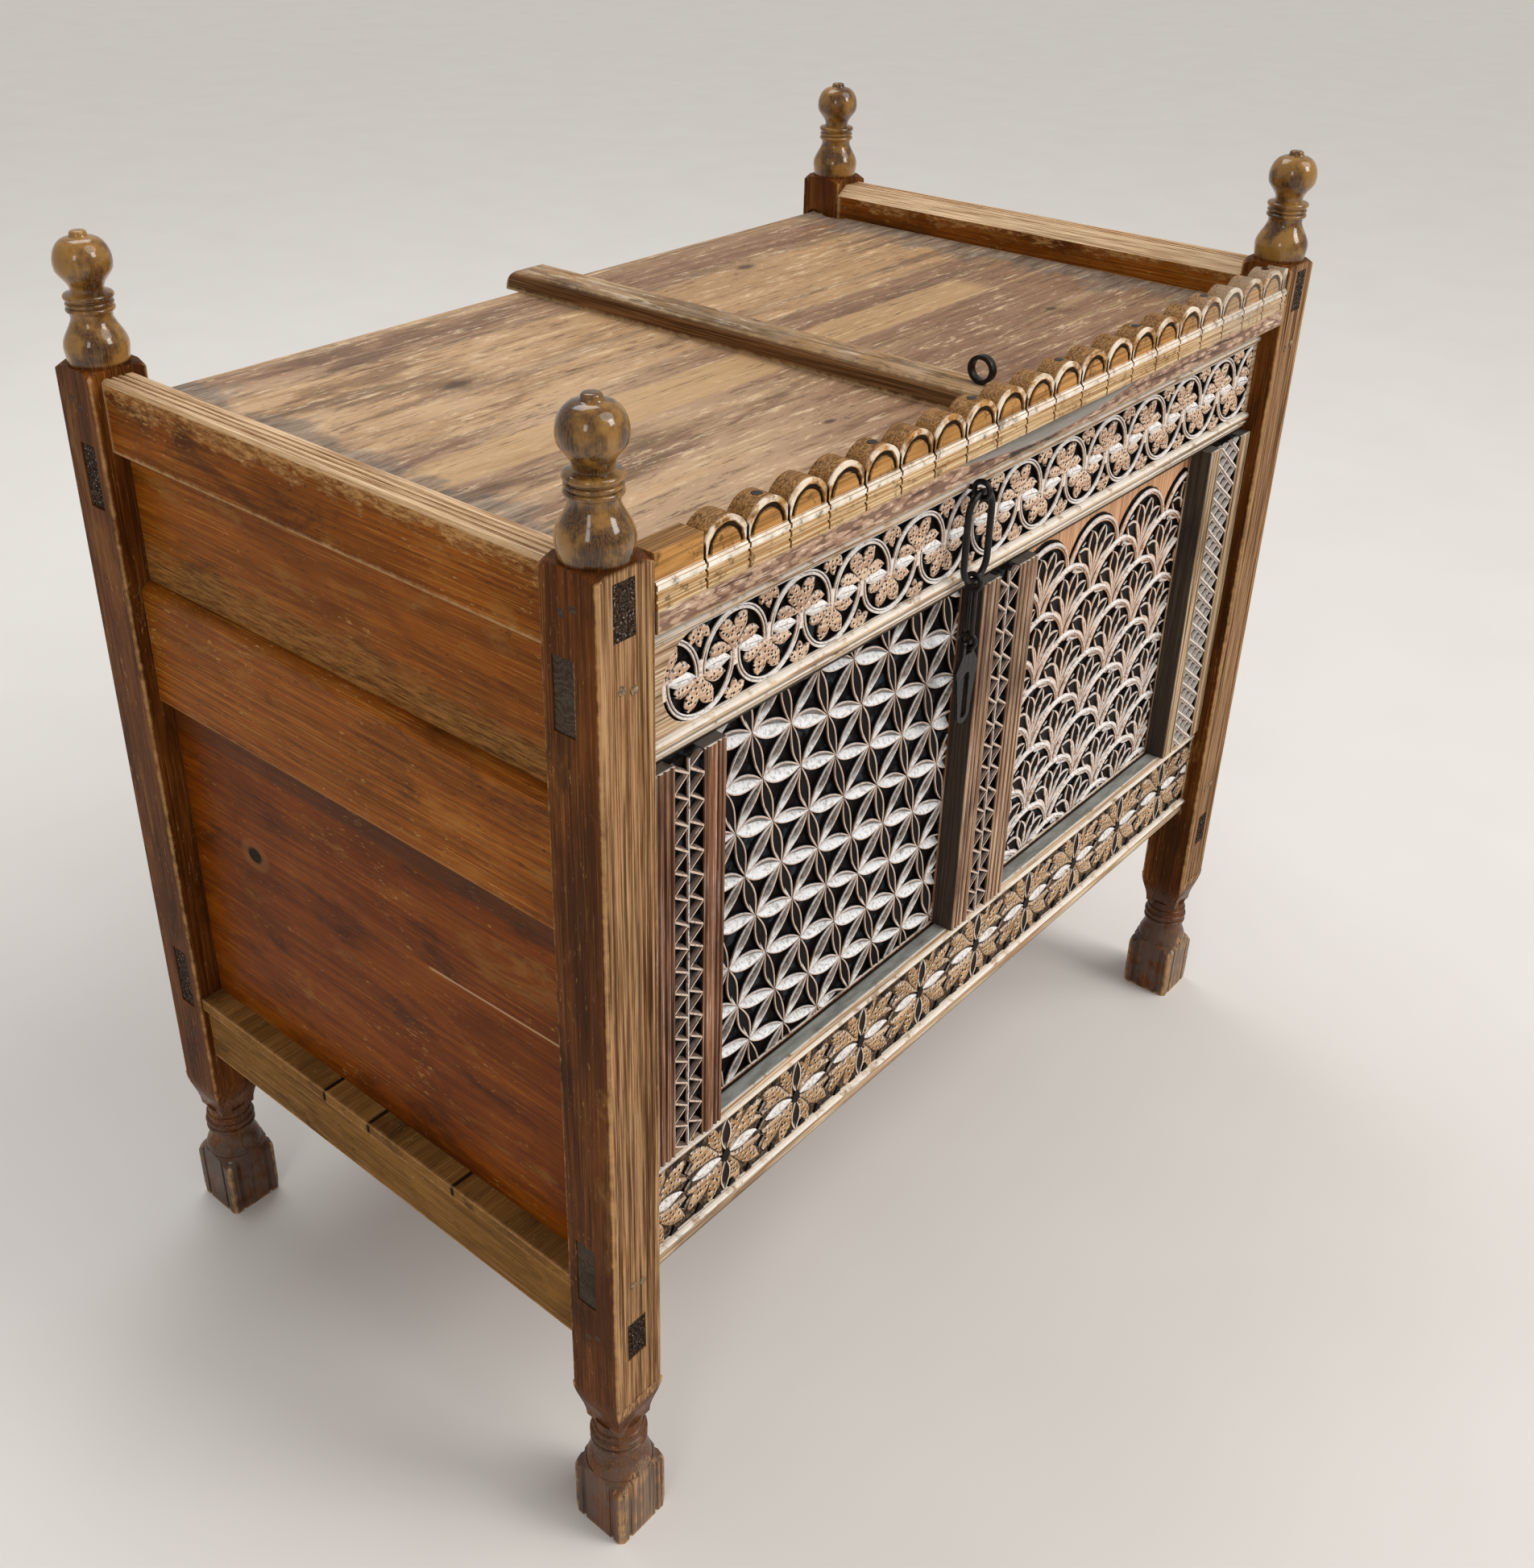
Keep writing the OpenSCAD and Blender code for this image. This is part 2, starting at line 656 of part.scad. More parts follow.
// Side top rail, drawn for the right side: ridges along the top and a wide bevel on the inner edge
ridge_radius = 2;
inner_bevel = [16, 12];
module side_top_section() {
  face = outer_x - side_top_set;
  difference() {
    translate([inner_x, side_rail_under]) square([face - inner_x, side_top_rail_height]);
    polygon([
      [inner_x - over, side_rail_top - inner_bevel[1]], [inner_x, side_rail_top - inner_bevel[1]],
      [inner_x + inner_bevel[0], side_rail_top], [inner_x + inner_bevel[0], side_rail_top + over],
      [inner_x - over, side_rail_top + over]
    ]);
    polygon([[face - 4, side_rail_top + over], [face - 3, side_rail_top], [face, side_rail_top - 3],
      [face + over, side_rail_top - 4], [face + over, side_rail_top + over]]);
    for (i = [0 : 2]) translate([face - 9 - 6.5 * i, side_rail_top + 0.6]) circle(r = ridge_radius, $fn = 16);
  }
}
module side_top_rail() {
  color(aged) difference() {
    union() {
      along_y(-inner_y, inner_y) side_top_section();
      tenons_y(side_tenon_z, side_tenon_height);
    }
    side_edge_groove(side_upper_panel_set, side_rail_under - over, side_rail_under + tongue_length + board_gap);
    for (sy = [-1, 1]) scale([1, sy, 1]) side_pegs(peg_diameter / 2 + peg_gap, peg_gap);
  }
}
module side_edge_groove(set, low, high) {
  x = outer_x - set - tongue_back;
  box([x - tongue_thickness - joint_gap, -inner_y - over, low], [x + joint_gap, inner_y + over, high]);
}

// Side middle rail with a rounded upper edge and blind tenons
mid_round = 12;
module side_mid_section() {
  face = outer_x - side_mid_set;
  union() {
    translate([face - side_mid_thickness, side_mid_rail_under])
      square([side_mid_thickness, side_mid_rail_height - mid_round]);
    translate([face - side_mid_thickness, side_mid_rail_under])
      square([side_mid_thickness - mid_round, side_mid_rail_height]);
    translate([face - mid_round, side_mid_rail_top - mid_round]) circle(r = mid_round);
  }
}
module side_mid_rail() {
  s = side_tenon_span();
  color(aged) difference() {
    union() {
      along_y(-inner_y, inner_y) side_mid_section();
      box([s[0], -inner_y - stub_length, side_mid_rail_under + mid_tenon_inset],
          [s[1], inner_y + stub_length, side_mid_rail_top - mid_tenon_inset]);
    }
    side_edge_groove(side_upper_panel_set, side_mid_rail_top - tongue_length - board_gap, side_mid_rail_top + over);
    side_edge_groove(side_lower_panel_set, side_mid_rail_under - over, side_mid_rail_under + tongue_length + board_gap);
  }
}

// Side bottom rail, rough and left square, with the floor boards lying on it
module side_bottom_rail() {
  face = outer_x - side_bottom_set;
  color(dark) difference() {
    union() {
      box([face - side_bottom_thickness, -inner_y, side_bottom_under], [face, inner_y, floor_under]);
      tenons_y(side_bottom_tenon_z, side_tenon_height);
    }
    for (sy = [-1, 1]) scale([1, sy, 1]) side_pegs(peg_diameter / 2 + peg_gap, peg_gap);
  }
}

// Plain side panel between two heights, with tongues into the posts and above, and below if asked
module side_panel(set, low, high, low_tongue, high_tongue) {
  face = outer_x - set;
  tongue_x = face - tongue_back;
  color(oak) {
    box([face - board_thickness, -inner_y + board_gap, low + board_gap],
        [face, inner_y - board_gap, high - board_gap]);
    box([tongue_x - tongue_thickness, -inner_y - tongue_length, low + board_gap],
        [tongue_x, inner_y + tongue_length, high - board_gap]);
    box([tongue_x - tongue_thickness, -inner_y + board_gap, low - low_tongue + board_gap],
        [tongue_x, inner_y - board_gap, high + high_tongue - board_gap]);
  }
}
module side_upper_panel() {
  side_panel(side_upper_panel_set, side_mid_rail_top, side_rail_under, tongue_length, tongue_length);
}
// The lower panel stands on the floor boards
module side_lower_panel() {
  side_panel(side_lower_panel_set, floor_top - board_gap + seat_gap, side_mid_rail_under, 0, tongue_length);
}

// Rear rails and the two boards between them
module rear_rail(low, high, tenon_z, tenon_height, groove_low, groove_high) {
  y = outer_y - rear_board_set - tongue_back;
  color(dark) difference() {
    union() {
      box([-inner_x, inner_y, low], [inner_x, outer_y - rear_rail_set, high]);
      tenons_x(1, tenon_z, tenon_height);
    }
    box([-inner_x - over, y - tongue_thickness - joint_gap, groove_low],
        [inner_x + over, y + joint_gap, groove_high]);
    for (sx = [-1, 1]) scale([sx, 1, 1]) face_pegs(peg_diameter / 2 + peg_gap, peg_gap);
  }
}
module rear_top_rail() {
  rear_rail(rear_top_under, rail_top, top_tenon_z, top_tenon_height,
    rear_top_under - over, rear_top_under + tongue_length + board_gap);
}
module rear_bottom_rail() {
  rear_rail(front_rail_underside, rear_bottom_top, bottom_tenon_z, bottom_tenon_height,
    rear_bottom_top - tongue_length - board_gap, rear_bottom_top + over);
}
module rear_board(low, high, low_tongue, high_tongue) {
  face = outer_y - rear_board_set;
  tongue_y = face - tongue_back;
  color(oak) {
    box([-inner_x + board_gap, face - board_thickness, low + board_gap],
        [inner_x - board_gap, face, high - board_gap]);
    box([-inner_x - tongue_length, tongue_y - tongue_thickness, low + board_gap],
        [inner_x + tongue_length, tongue_y, high - board_gap]);
    box([-inner_x + board_gap, tongue_y - tongue_thickness, low - low_tongue + board_gap],
        [inner_x - board_gap, tongue_y, high + high_tongue - board_gap]);
  }
}
module rear_upper_board() { rear_board(rear_joint, rear_top_under, 0, tongue_length); }
module rear_lower_board() { rear_board(rear_bottom_top, rear_joint, tongue_length, 0); }

// Floor board number i, counted from the front, lying on the side bottom rails with its ends showing
module floor_board(i) {
  span = 2 * inner_y;
  ends = outer_x - floor_end_set;
  color(aged)
    box([-ends, -inner_y + span * floor_joints[i] + board_gap / 2, floor_under],
        [ends, -inner_y + span * floor_joints[i + 1] - board_gap / 2, floor_top]);
}

// Lid: two boards joined edge to edge by dowels, the rear one with the pins that it turns on
dowel_radius = 4;
dowel_length = 60;
dowel_count = 4;
lid_relief_radius = 26;
lid_relief = 9;
module lid_dowel_row(r, extra) {
  step = 2 * lid_half / dowel_count;
  for (i = [0 : dowel_count - 1])
    bar_y(r, lid_joint_y - dowel_length / 2 - extra, lid_joint_y + dowel_length / 2 + extra,
      -lid_half + step * (i + 0.5), lid_axis_z);
}
// The finger hollow: a shallow arc worn off the upper front edge
module finger_hollow() {
  r = (pow(hollow_length / 2, 2) + pow(hollow_depth, 2)) / (2 * hollow_depth);
  translate([hollow_x, lid_front_y, lid_top])
    rotate([45, 0, 0]) translate([0, 0, r - hollow_depth]) rotate([90, 0, 0])
      cylinder(r = r, h = 80, center = true, $fn = 180);
}
module lid_front_board() {
  color(aged) difference() {
    box([-lid_half, lid_front_y, lid_under], [lid_half, lid_joint_y - board_gap / 2, lid_top]);
    finger_hollow();
    lid_dowel_row(dowel_radius + peg_gap, 0.5);
    batten_nail_row(nail_radius + peg_gap, nail_head + peg_gap);
    crest_nail_row(nail_radius + peg_gap, nail_head + peg_gap);
    eye_stem_bar(eye_stem + peg_gap);
  }
}
module lid_rear_board() {
  color(aged) difference() {
    union() {
      box([-lid_half, lid_joint_y + board_gap / 2, lid_under], [lid_half, lid_axis_y, lid_top]);
      bar_x(lid_pin_radius, -lid_half - lid_pin_length, lid_half + lid_pin_length, lid_axis_y, lid_axis_z);
    }
    // The ends are cut back in a hollow just in front of the pins
    for (sx = [-1, 1])
      translate([sx * (lid_half + lid_relief_radius - lid_relief), lid_axis_y - lid_pin_radius - lid_relief_radius,
        lid_under - over])
        cylinder(r = lid_relief_radius, h = lid_thickness + 2 * over);
    lid_dowel_row(dowel_radius + peg_gap, 0.5);
    batten_nail_row(nail_radius + peg_gap, nail_head + peg_gap);
  }
}
module lid_dowels() {
  color("burlywood") lid_dowel_row(dowel_radius, 0);
}

// Batten across the lid: rounded along its upper edges, sloping at the front, rounded at the rear
batten_round = 9;
batten_slope = 36;
batten_nose = 9;
batten_front = lid_front_y + crest_thickness + board_gap;
batten_rear = lid_axis_y + lid_pin_radius + batten_tail;
module batten_section() {
  w = batten_width;
  translate([-w / 2, lid_top]) square([w, batten_height - batten_round]);
  translate([-w / 2 + batten_round, lid_top]) square([w - 2 * batten_round, batten_height]);
  for (s = [-1, 1])
    translate([s * (w / 2 - batten_round), lid_top + batten_height - batten_round]) circle(r = batten_round);
}
module lid_batten() {
  color(dark) difference() {
    along_y(batten_front, batten_rear) batten_section();
    along_x(-batten_width, batten_width) polygon([
      [batten_front - over, lid_top + batten_nose], [batten_front + batten_slope, lid_top + batten_height],
      [batten_front + batten_slope, lid_top + batten_height + over],
      [batten_front - over, lid_top + batten_height + over]
    ]);
    along_x(-batten_width, batten_width) difference() {
      translate([batten_rear - batten_height, lid_top]) square([batten_height + over, batten_height + over]);
      translate([batten_rear - batten_height, lid_top]) circle(r = batten_height);
    }
    batten_nail_row(nail_radius + peg_gap, nail_head + peg_gap);
    eye_stem_bar(eye_stem + peg_gap);
  }
}

// Nails up through the lid into the batten, with their heads let into the lid's underside
nail_radius = 2;
nail_head = 4.5;
nail_head_depth = 2;
nail_reach = 16;
nail_count = 6;
// From the first nail to the lid's eye, and from the last one to the lid's axis
nail_end_margin = 40;
// Each nail's distance from the batten's middle line, to one side and the other in turn
nail_stagger = 9;
module batten_nail_row(r, head) {
  step = (lid_axis_y - eye_y - 2 * nail_end_margin) / (nail_count - 1);
  extra = r > nail_radius ? over : 0;
  for (i = [0 : nail_count - 1])
    translate([(i % 2 == 0 ? -1 : 1) * nail_stagger, eye_y + nail_end_margin + step * i, lid_under]) {
      translate([0, 0, -extra]) cylinder(r = r, h = lid_thickness + nail_reach + 2 * extra);
      translate([0, 0, -extra]) cylinder(r = head, h = nail_head_depth + extra);
    }
}
module batten_nails() {
  color(iron) batten_nail_row(nail_radius, nail_head);
}

// Scalloped cresting: arches between saw cuts, standing on a stepped moulding
scallop_half = (scallop_pitch - kerf_width) / 2;
arch_radius = (pow(scallop_half, 2) + pow(arch_rise, 2)) / (2 * arch_rise);
crest_top = lid_top + crest_height;
valley_z = crest_top - arch_rise;
function scallop_x(i) = scallop_start + scallop_pitch * (i + 0.5);
module crest_outline() {
  translate([crest_left, lid_top]) square([crest_right - crest_left, valley_z - lid_top]);
  translate([crest_left, lid_top]) square([crest_block_length - kerf_width / 2, crest_height - 4]);
  intersection() {
    translate([crest_left, lid_top]) square([crest_right - crest_left, crest_height + over]);
    for (i = [0 : scallop_count]) translate([scallop_x(i), crest_top - arch_radius]) circle(r = arch_radius);
  }
}
module crest_section() {
  front = lid_front_y;
  step = crest_moulding / 3;
  difference() {
    translate([front, lid_top]) square([crest_thickness, crest_height + over]);
    translate([front - over, lid_top + crest_moulding]) square([crest_step + over, crest_height]);
    for (i = [1, 2]) translate([front, lid_top + step * i]) circle(r = 1.4, $fn = 16);
    translate([front, lid_top + crest_moulding]) circle(r = 2, $fn = 24);
  }
}
arch_groove = 2.2;
arch_groove_inset = 7;
module arch_grooves() {
  for (i = [0 : scallop_count - 1])
    translate([scallop_x(i), lid_front_y + crest_step, crest_top - arch_radius])
      rotate([90, 0, 0]) rotate_extrude(angle = 180)
        translate([arch_radius - arch_groove_inset, 0]) circle(r = arch_groove, $fn = 16);
}
module lid_cresting() {
  color(carved) difference() {
    intersection() {
      along_x(crest_left, crest_right) crest_section();
      along_y(lid_front_y - over, lid_front_y + crest_thickness + over) crest_outline();
    }
    for (i = [0 : scallop_count])
      translate([scallop_start + scallop_pitch * i - kerf_width / 2, lid_front_y - over, lid_top - over])
        cube([kerf_width, kerf_depth + over, crest_height + 2 * over]);
    arch_grooves();
    crest_nail_row(nail_radius + peg_gap, nail_head + peg_gap);
  }
}
// Nails through every third scallop into the lid
crest_nail_length = 40;
module crest_nail_row(r, head) {
  extra = r > nail_radius ? over : 0;
  for (i = [scallop_count - 1 : -3 : 0])
    translate([scallop_x(i), lid_front_y + crest_thickness / 2 + 2, crest_top - nail_head_depth]) {
      cylinder(r = head, h = nail_head_depth + extra);
      translate([0, 0, nail_head_depth - 1 - lid_thickness / 2 - crest_height])
        cylinder(r = r, h = crest_height + lid_thickness / 2);
    }
}
module cresting_nails() {
  color(iron) crest_nail_row(nail_radius, nail_head);
}

// Padlock eye: a flat iron band on a stem driven down through the batten and the lid
module eye_stem_bar(r) {
  low = lid_under - (r > eye_stem ? over : 0);
  translate([0, eye_y, low]) cylinder(r = r, h = eye_z - lid_eye_diameter / 2 + eye_wall / 2 - low);
}
module lid_eye() {
  color(iron) {
    difference() {
      bar_x(lid_eye_diameter / 2, -eye_width / 2, eye_width / 2, eye_y, eye_z);
      bar_x(lid_eye_diameter / 2 - eye_wall, -eye_width, eye_width, eye_y, eye_z);
    }
    eye_stem_bar(eye_stem);
  }
}

// A ring whose hole runs along X
module ring_x(ring_radius, bar_radius, y, z) {
  translate([0, y, z]) rotate([0, 90, 0]) rotate_extrude() translate([ring_radius, 0]) circle(r = bar_radius, $fn = 24);
}

// Staple: an eye on a shank driven into the front top rail
module hasp_staple() {
  color(iron) translate([hasp_x, 0, 0]) {
    ring_x(staple_ring, staple_bar, chain_y, staple_z);
    bar_y(staple_bar, chain_y + staple_ring, top_rail_face + staple_shank, 0, staple_z);
  }
}

// Upper link: a long oval that hangs flat against the front, its upper bend through the staple's eye
module half_ring(ring_radius, bar_radius) {
  rotate([90, 0, 0]) rotate_extrude(angle = 180) translate([ring_radius, 0]) circle(r = bar_radius, $fn = 24);
}
module hasp_upper_link() {
  bend = upper_link_width / 2 - upper_link_bar;
  top = upper_pivot_z - bend;
  low = lower_pivot_z + bend;
  color(iron) translate([hasp_x, chain_y, 0]) {
    translate([0, 0, top]) half_ring(bend, upper_link_bar);
    translate([0, 0, low]) rotate([0, 180, 0]) half_ring(bend, upper_link_bar);
    for (s = [-1, 1]) translate([s * bend, 0, low]) cylinder(r = upper_link_bar, h = top - low, $fn = 24);
  }
}

// Lower link: two eyes joined by a close pair of bars
pair_spread = 3;
module hasp_lower_link() {
  color(iron) translate([hasp_x, 0, 0]) {
    for (z = [lower_eye_z, lower_eye_z - lower_link_reach]) ring_x(link_ring, link_bar, chain_y, z);
    for (s = [-1, 1])
      translate([0, chain_y + s * pair_spread, lower_eye_z - lower_link_reach + link_ring - 0.6])
        cylinder(r = 2.3, h = lower_link_reach - 2 * (link_ring - 0.6), $fn = 24);
  }
}

// Hasp plate: a loop on top, shoulders that spread like a leaf, a rounded end and a long slot
plate_thickness = 4;
loop_half = 7;
plate_neck = 11;
shoulder_drop = 26;
slot_width = 9;
slot_length = 40;
module plate_outline() {
  w = hasp_plate_width / 2;
  end = 10;
  low = -plate_neck - hasp_plate_length + end;
  difference() {
    union() {
      polygon([
        [-loop_half - 2, -plate_neck], [loop_half + 2, -plate_neck], [w, -shoulder_drop], [w - 2.5, -shoulder_drop - 9],
        [end, low], [-end, low], [-w + 2.5, -shoulder_drop - 9], [-w, -shoulder_drop]
      ]);
      translate([0, low]) circle(r = end);
    }
    translate([-slot_width / 2, low]) square([slot_width, slot_length]);
    for (z = [low, low + slot_length]) translate([0, z]) circle(r = slot_width / 2, $fn = 32);
  }
}
module hasp_plate() {
  t = plate_thickness / 2;
  color(iron) translate([hasp_x, chain_y, plate_pivot_z]) {
    along_y(-t, t) plate_outline();
    bar_x(plate_bar, -loop_half - 2, loop_half + 2, 0, 0);
    for (s = [-1, 1]) translate([s * loop_half - 2, -t, -plate_neck - over]) cube([4, plate_thickness, plate_neck + over]);
  }
}

// The right-hand pieces mirror the left-hand ones
module on_left() { mirror([1, 0, 0]) children(); }

post(-1, -1);  // front_left_post
post(1, -1);  // front_right_post
post(-1, 1);  // rear_left_post
post(1, 1);  // rear_right_post
front_top_rail();
front_bottom_rail();
front_left_stile();
front_centre_stile();
front_right_stile();
front_left_panel();
front_right_panel();
on_left() side_top_rail();  // left_top_rail
on_left() side_upper_panel();  // left_upper_panel
on_left() side_mid_rail();  // left_mid_rail
on_left() side_lower_panel();  // left_lower_panel
on_left() side_bottom_rail();  // left_bottom_rail
side_top_rail();  // right_top_rail
side_upper_panel();  // right_upper_panel
side_mid_rail();  // right_mid_rail
side_lower_panel();  // right_lower_panel
side_bottom_rail();  // right_bottom_rail
rear_top_rail();
rear_upper_board();
rear_lower_board();
rear_bottom_rail();
floor_board(0);  // floor_board_front
floor_board(1);  // floor_board_second
floor_board(2);  // floor_board_third
floor_board(3);  // floor_board_rear
pegs_pair([-1, 1], [-1], false);  // front_pegs
pegs_pair([-1, 1], [1], false);  // rear_pegs
pegs_pair([-1], [-1, 1], true);  // left_pegs
pegs_pair([1], [-1, 1], true);  // right_pegs
lid_front_board();
lid_rear_board();
lid_dowels();
lid_batten();
batten_nails();
lid_cresting();
cresting_nails();
lid_eye();
hasp_staple();
hasp_upper_link();
hasp_lower_link();
hasp_plate();
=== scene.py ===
"""A carved dowry chest: old oiled cedar with a worn carved front, a plank lid and a forged chain hasp."""
import bpy, bmesh, math
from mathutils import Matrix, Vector


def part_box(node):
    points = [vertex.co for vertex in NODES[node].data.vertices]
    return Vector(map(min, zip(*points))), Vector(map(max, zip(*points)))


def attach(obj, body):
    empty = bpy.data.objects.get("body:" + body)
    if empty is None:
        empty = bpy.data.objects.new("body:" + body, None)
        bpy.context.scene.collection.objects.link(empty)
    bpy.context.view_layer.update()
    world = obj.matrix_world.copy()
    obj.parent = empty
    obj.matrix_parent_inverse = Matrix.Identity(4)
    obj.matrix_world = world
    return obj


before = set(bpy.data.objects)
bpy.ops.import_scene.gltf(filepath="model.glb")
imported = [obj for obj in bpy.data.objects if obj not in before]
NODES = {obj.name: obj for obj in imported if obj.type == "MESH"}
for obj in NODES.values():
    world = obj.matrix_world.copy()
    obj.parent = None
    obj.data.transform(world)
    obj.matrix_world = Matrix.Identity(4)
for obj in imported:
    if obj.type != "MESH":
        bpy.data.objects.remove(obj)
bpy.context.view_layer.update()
MM = 0.001

# Camera, light and floor
PHOTO_W = 1904
FOCAL_PX = 2057.9
CENTRE_PX = (-60.8, -129.1)
CAMERA_PLACE = (-1.262, -1.041, 1.478)
CAMERA_TURN = (1.0687, -0.0113, -0.8561)
WORLD_POWER = 0.52
# How bright the background looks to the camera, apart from the light that it gives
BACKDROP_POWER = 0.86
SUN_FROM = (0.42, -0.78, 1.0)
WARM = (1.0, 0.98, 0.95)


def add_object(name, data, place=(0, 0, 0), turn=(0, 0, 0)):
    """Adds an object to the scene."""
    obj = bpy.data.objects.new(name, data)
    obj.location = place
    obj.rotation_euler = turn
    bpy.context.scene.collection.objects.link(obj)
    return obj


def make_camera():
    """The photograph's own viewpoint, solved from the chest's corners."""
    cam = bpy.data.cameras.new("photo_camera")
    cam.sensor_fit = "HORIZONTAL"
    cam.sensor_width = 36.0
    cam.lens = FOCAL_PX / PHOTO_W * cam.sensor_width
    cam.shift_x = -CENTRE_PX[0] / PHOTO_W
    cam.shift_y = CENTRE_PX[1] / PHOTO_W
    cam.clip_end = 60.0
    bpy.context.scene.camera = add_object("photo_camera", cam, CAMERA_PLACE, CAMERA_TURN)


def area_lamp(name, place, aim, size, watts, colour):
    lamp = bpy.data.lights.new(name, "AREA")
    lamp.shape = "RECTANGLE"
    lamp.size, lamp.size_y = size
    lamp.energy = watts
    lamp.color = colour
    add_object(name, lamp, place, (Vector(aim) - Vector(place)).to_track_quat("-Z", "Y").to_euler())


def hexed(code):
    """An sRGB hex colour as the linear values that nodes take."""
    c = [int(code[i:i + 2], 16) / 255 for i in (1, 3, 5)]
    return [v / 12.92 if v <= 0.04045 else ((v + 0.055) / 1.055) ** 2.4 for v in c] + [1.0]


# Nodes and materials
def put(tree, socket, value):
    """Links a socket or sets its value. A text is a hex colour, and None leaves the socket alone."""
    if isinstance(value, bpy.types.NodeSocket):
        tree.links.new(value, socket)
    elif value is not None:
        socket.default_value = hexed(value) if isinstance(value, str) else value


def add_node(tree, kind, inputs=None, **settings):
    """Adds a node with its settings, puts a value in each of the inputs, and returns its outputs."""
    n = tree.nodes.new(kind)
    for key, value in settings.items():
        setattr(n, key, value)
    for key, value in (inputs or {}).items():
        put(tree, n.inputs[key], value)
    return n.outputs


class Paint:
    """A material under construction, with short calls for the nodes that this chest's finishes need.

    While it is made, colour, height and gloss hold the look so far, and fibres and blotch its grain."""

    def __init__(self, name, sheen=0.5):
        self.mat = bpy.data.materials.new(name)
        self.mat.use_nodes = True
        self.nt = self.mat.node_tree
        self.bsdf = self.nt.nodes["Principled BSDF"].inputs
        self.bsdf["Specular IOR Level"].default_value = sheen
        given = self.node("TexCoord")
        self.normal = given["Normal"]
        # Object coordinates in millimetres
        self.mm = self.node("VectorMath", {0: given["Object"], "Scale": 1000.0}, operation="SCALE")[0]
        self.x, self.y, self.z = self.node("SeparateXYZ", {0: self.mm})

    def node(self, kind, inputs=None, **settings):
        return add_node(self.nt, "ShaderNode" + kind, inputs, **settings)

    def math(self, op, a, b=None, c=None):
        return self.node("Math", {0: a, 1: b, 2: c}, operation=op)[0]

    def times(self, first, *rest):
        for value in rest:
            first = self.math("MULTIPLY", first, value)
        return first

    def plus(self, first, *rest):
        for value in rest:
            first = self.math("ADD", first, value)
        return first

    def minus(self, a, b):
        return self.math("SUBTRACT", a, b)

    def times_plus(self, a, b, c):
        return self.math("MULTIPLY_ADD", a, b, c)

    def absolute(self, a):
        return self.math("ABSOLUTE", a)

    def reach(self, a, b):
        """The distance that two offsets at right angles make."""
        return self.math("SQRT", self.plus(self.times(a, a), self.times(b, b)))

    def waves(self, value, speed):
        """0 to 1 and back, over and over."""
        return self.times_plus(self.math("SINE", self.times(value, speed)), 0.5, 0.5)

    def step(self, value, low, high):
        """0 below low, 1 above high, smooth between. low may be above high."""
        ends = {"From Min": min(low, high), "From Max": max(low, high),
                "To Min": float(low > high), "To Max": float(low <= high)}
        return self.node("MapRange", {"Value": value, **ends}, interpolation_type="SMOOTHSTEP")["Result"]

    def band(self, value, low, high, soft):
        """1 between low and high, falling to 0 over soft outside them."""
        return self.times(self.step(value, low - soft, low), self.step(value, high + soft, high))

    def stretch(self, scale, shift=(0, 0, 0), turn=(0, 0, 0)):
        return self.node("Mapping", {0: self.mm, "Location": shift, "Rotation": turn, "Scale": scale})[0]

    def noise(self, scale, detail, rough=0.55, warp=0.0, where=None):
        return self.node("TexNoise", {"Vector": self.mm if where is None else where, "Scale": scale,
                                      "Detail": detail, "Roughness": rough, "Distortion": warp})["Fac"]

    def streaks(self, scale, detail, rough=0.55, warp=0.0, shift=(0, 0, 0), turn=(0, 0, 0)):
        """A noise with a scale of its own along each axis."""
        return self.noise(1.0, detail, rough, warp, self.stretch(scale, shift, turn))

    def cells(self, where, scale):
        return self.node("TexVoronoi", {"Vector": where, "Scale": scale})["Distance"]

    def dots(self, scale, shift=(0.0, 0.0)):
        """Distance to the nearest punched dot on an upright face, in dot spacings."""
        flat = self.node("CombineXYZ", {"X": self.plus(self.x, shift[0]), "Y": self.plus(self.z, shift[1])})
        return self.node("TexVoronoi", {"Vector": flat[0], "Scale": scale, "Randomness": 0.7},
                         voronoi_dimensions="2D")["Distance"]

    def mix(self, fac, a, b):
        return self.node("Mix", {"Factor": fac, 6: a, 7: b}, data_type="RGBA")[2]

    def two_tone(self, pattern, low, high, a, b):
        """Tone a where a pattern is below low, tone b where it is above high."""
        return self.mix(self.step(pattern, low, high), a, b)

    def tint(self, tone, mask, amount=None):
        """Lays a tone over the colour so far where mask is 1, as strongly as amount says."""
        mask = mask if amount is None else self.times(mask, amount)
        self.colour = self.mix(mask, self.colour, tone)

    def stain(self, pattern, low, high, tone, amount=None):
        """Lays a tone where a pattern goes from low to high. low may be above high."""
        self.tint(tone, self.step(pattern, low, high), amount)

    def attribute(self, name):
        return self.node("Attribute", attribute_name=name)["Fac"]

    def facing(self):
        """The three parts of the surface's own direction."""
        return self.node("SeparateXYZ", {0: self.normal})

    def bump(self, height, depth_mm, strength, below=None):
        return self.node("Bump", {"Height": height, "Distance": depth_mm * MM, "Strength": strength,
                                  "Normal": below})["Normal"]

    def finish(self, rough, normal):
        for key, value in (("Base Color", self.colour), ("Roughness", rough), ("Normal", normal)):
            put(self.nt, self.bsdf[key], value)
        return self.mat


def lying(axis, across, along):
    """The scales of a pattern that is drawn out along the grain."""
    scales = [across] * 3
    scales["XYZ".index(axis)] = along
    return scales


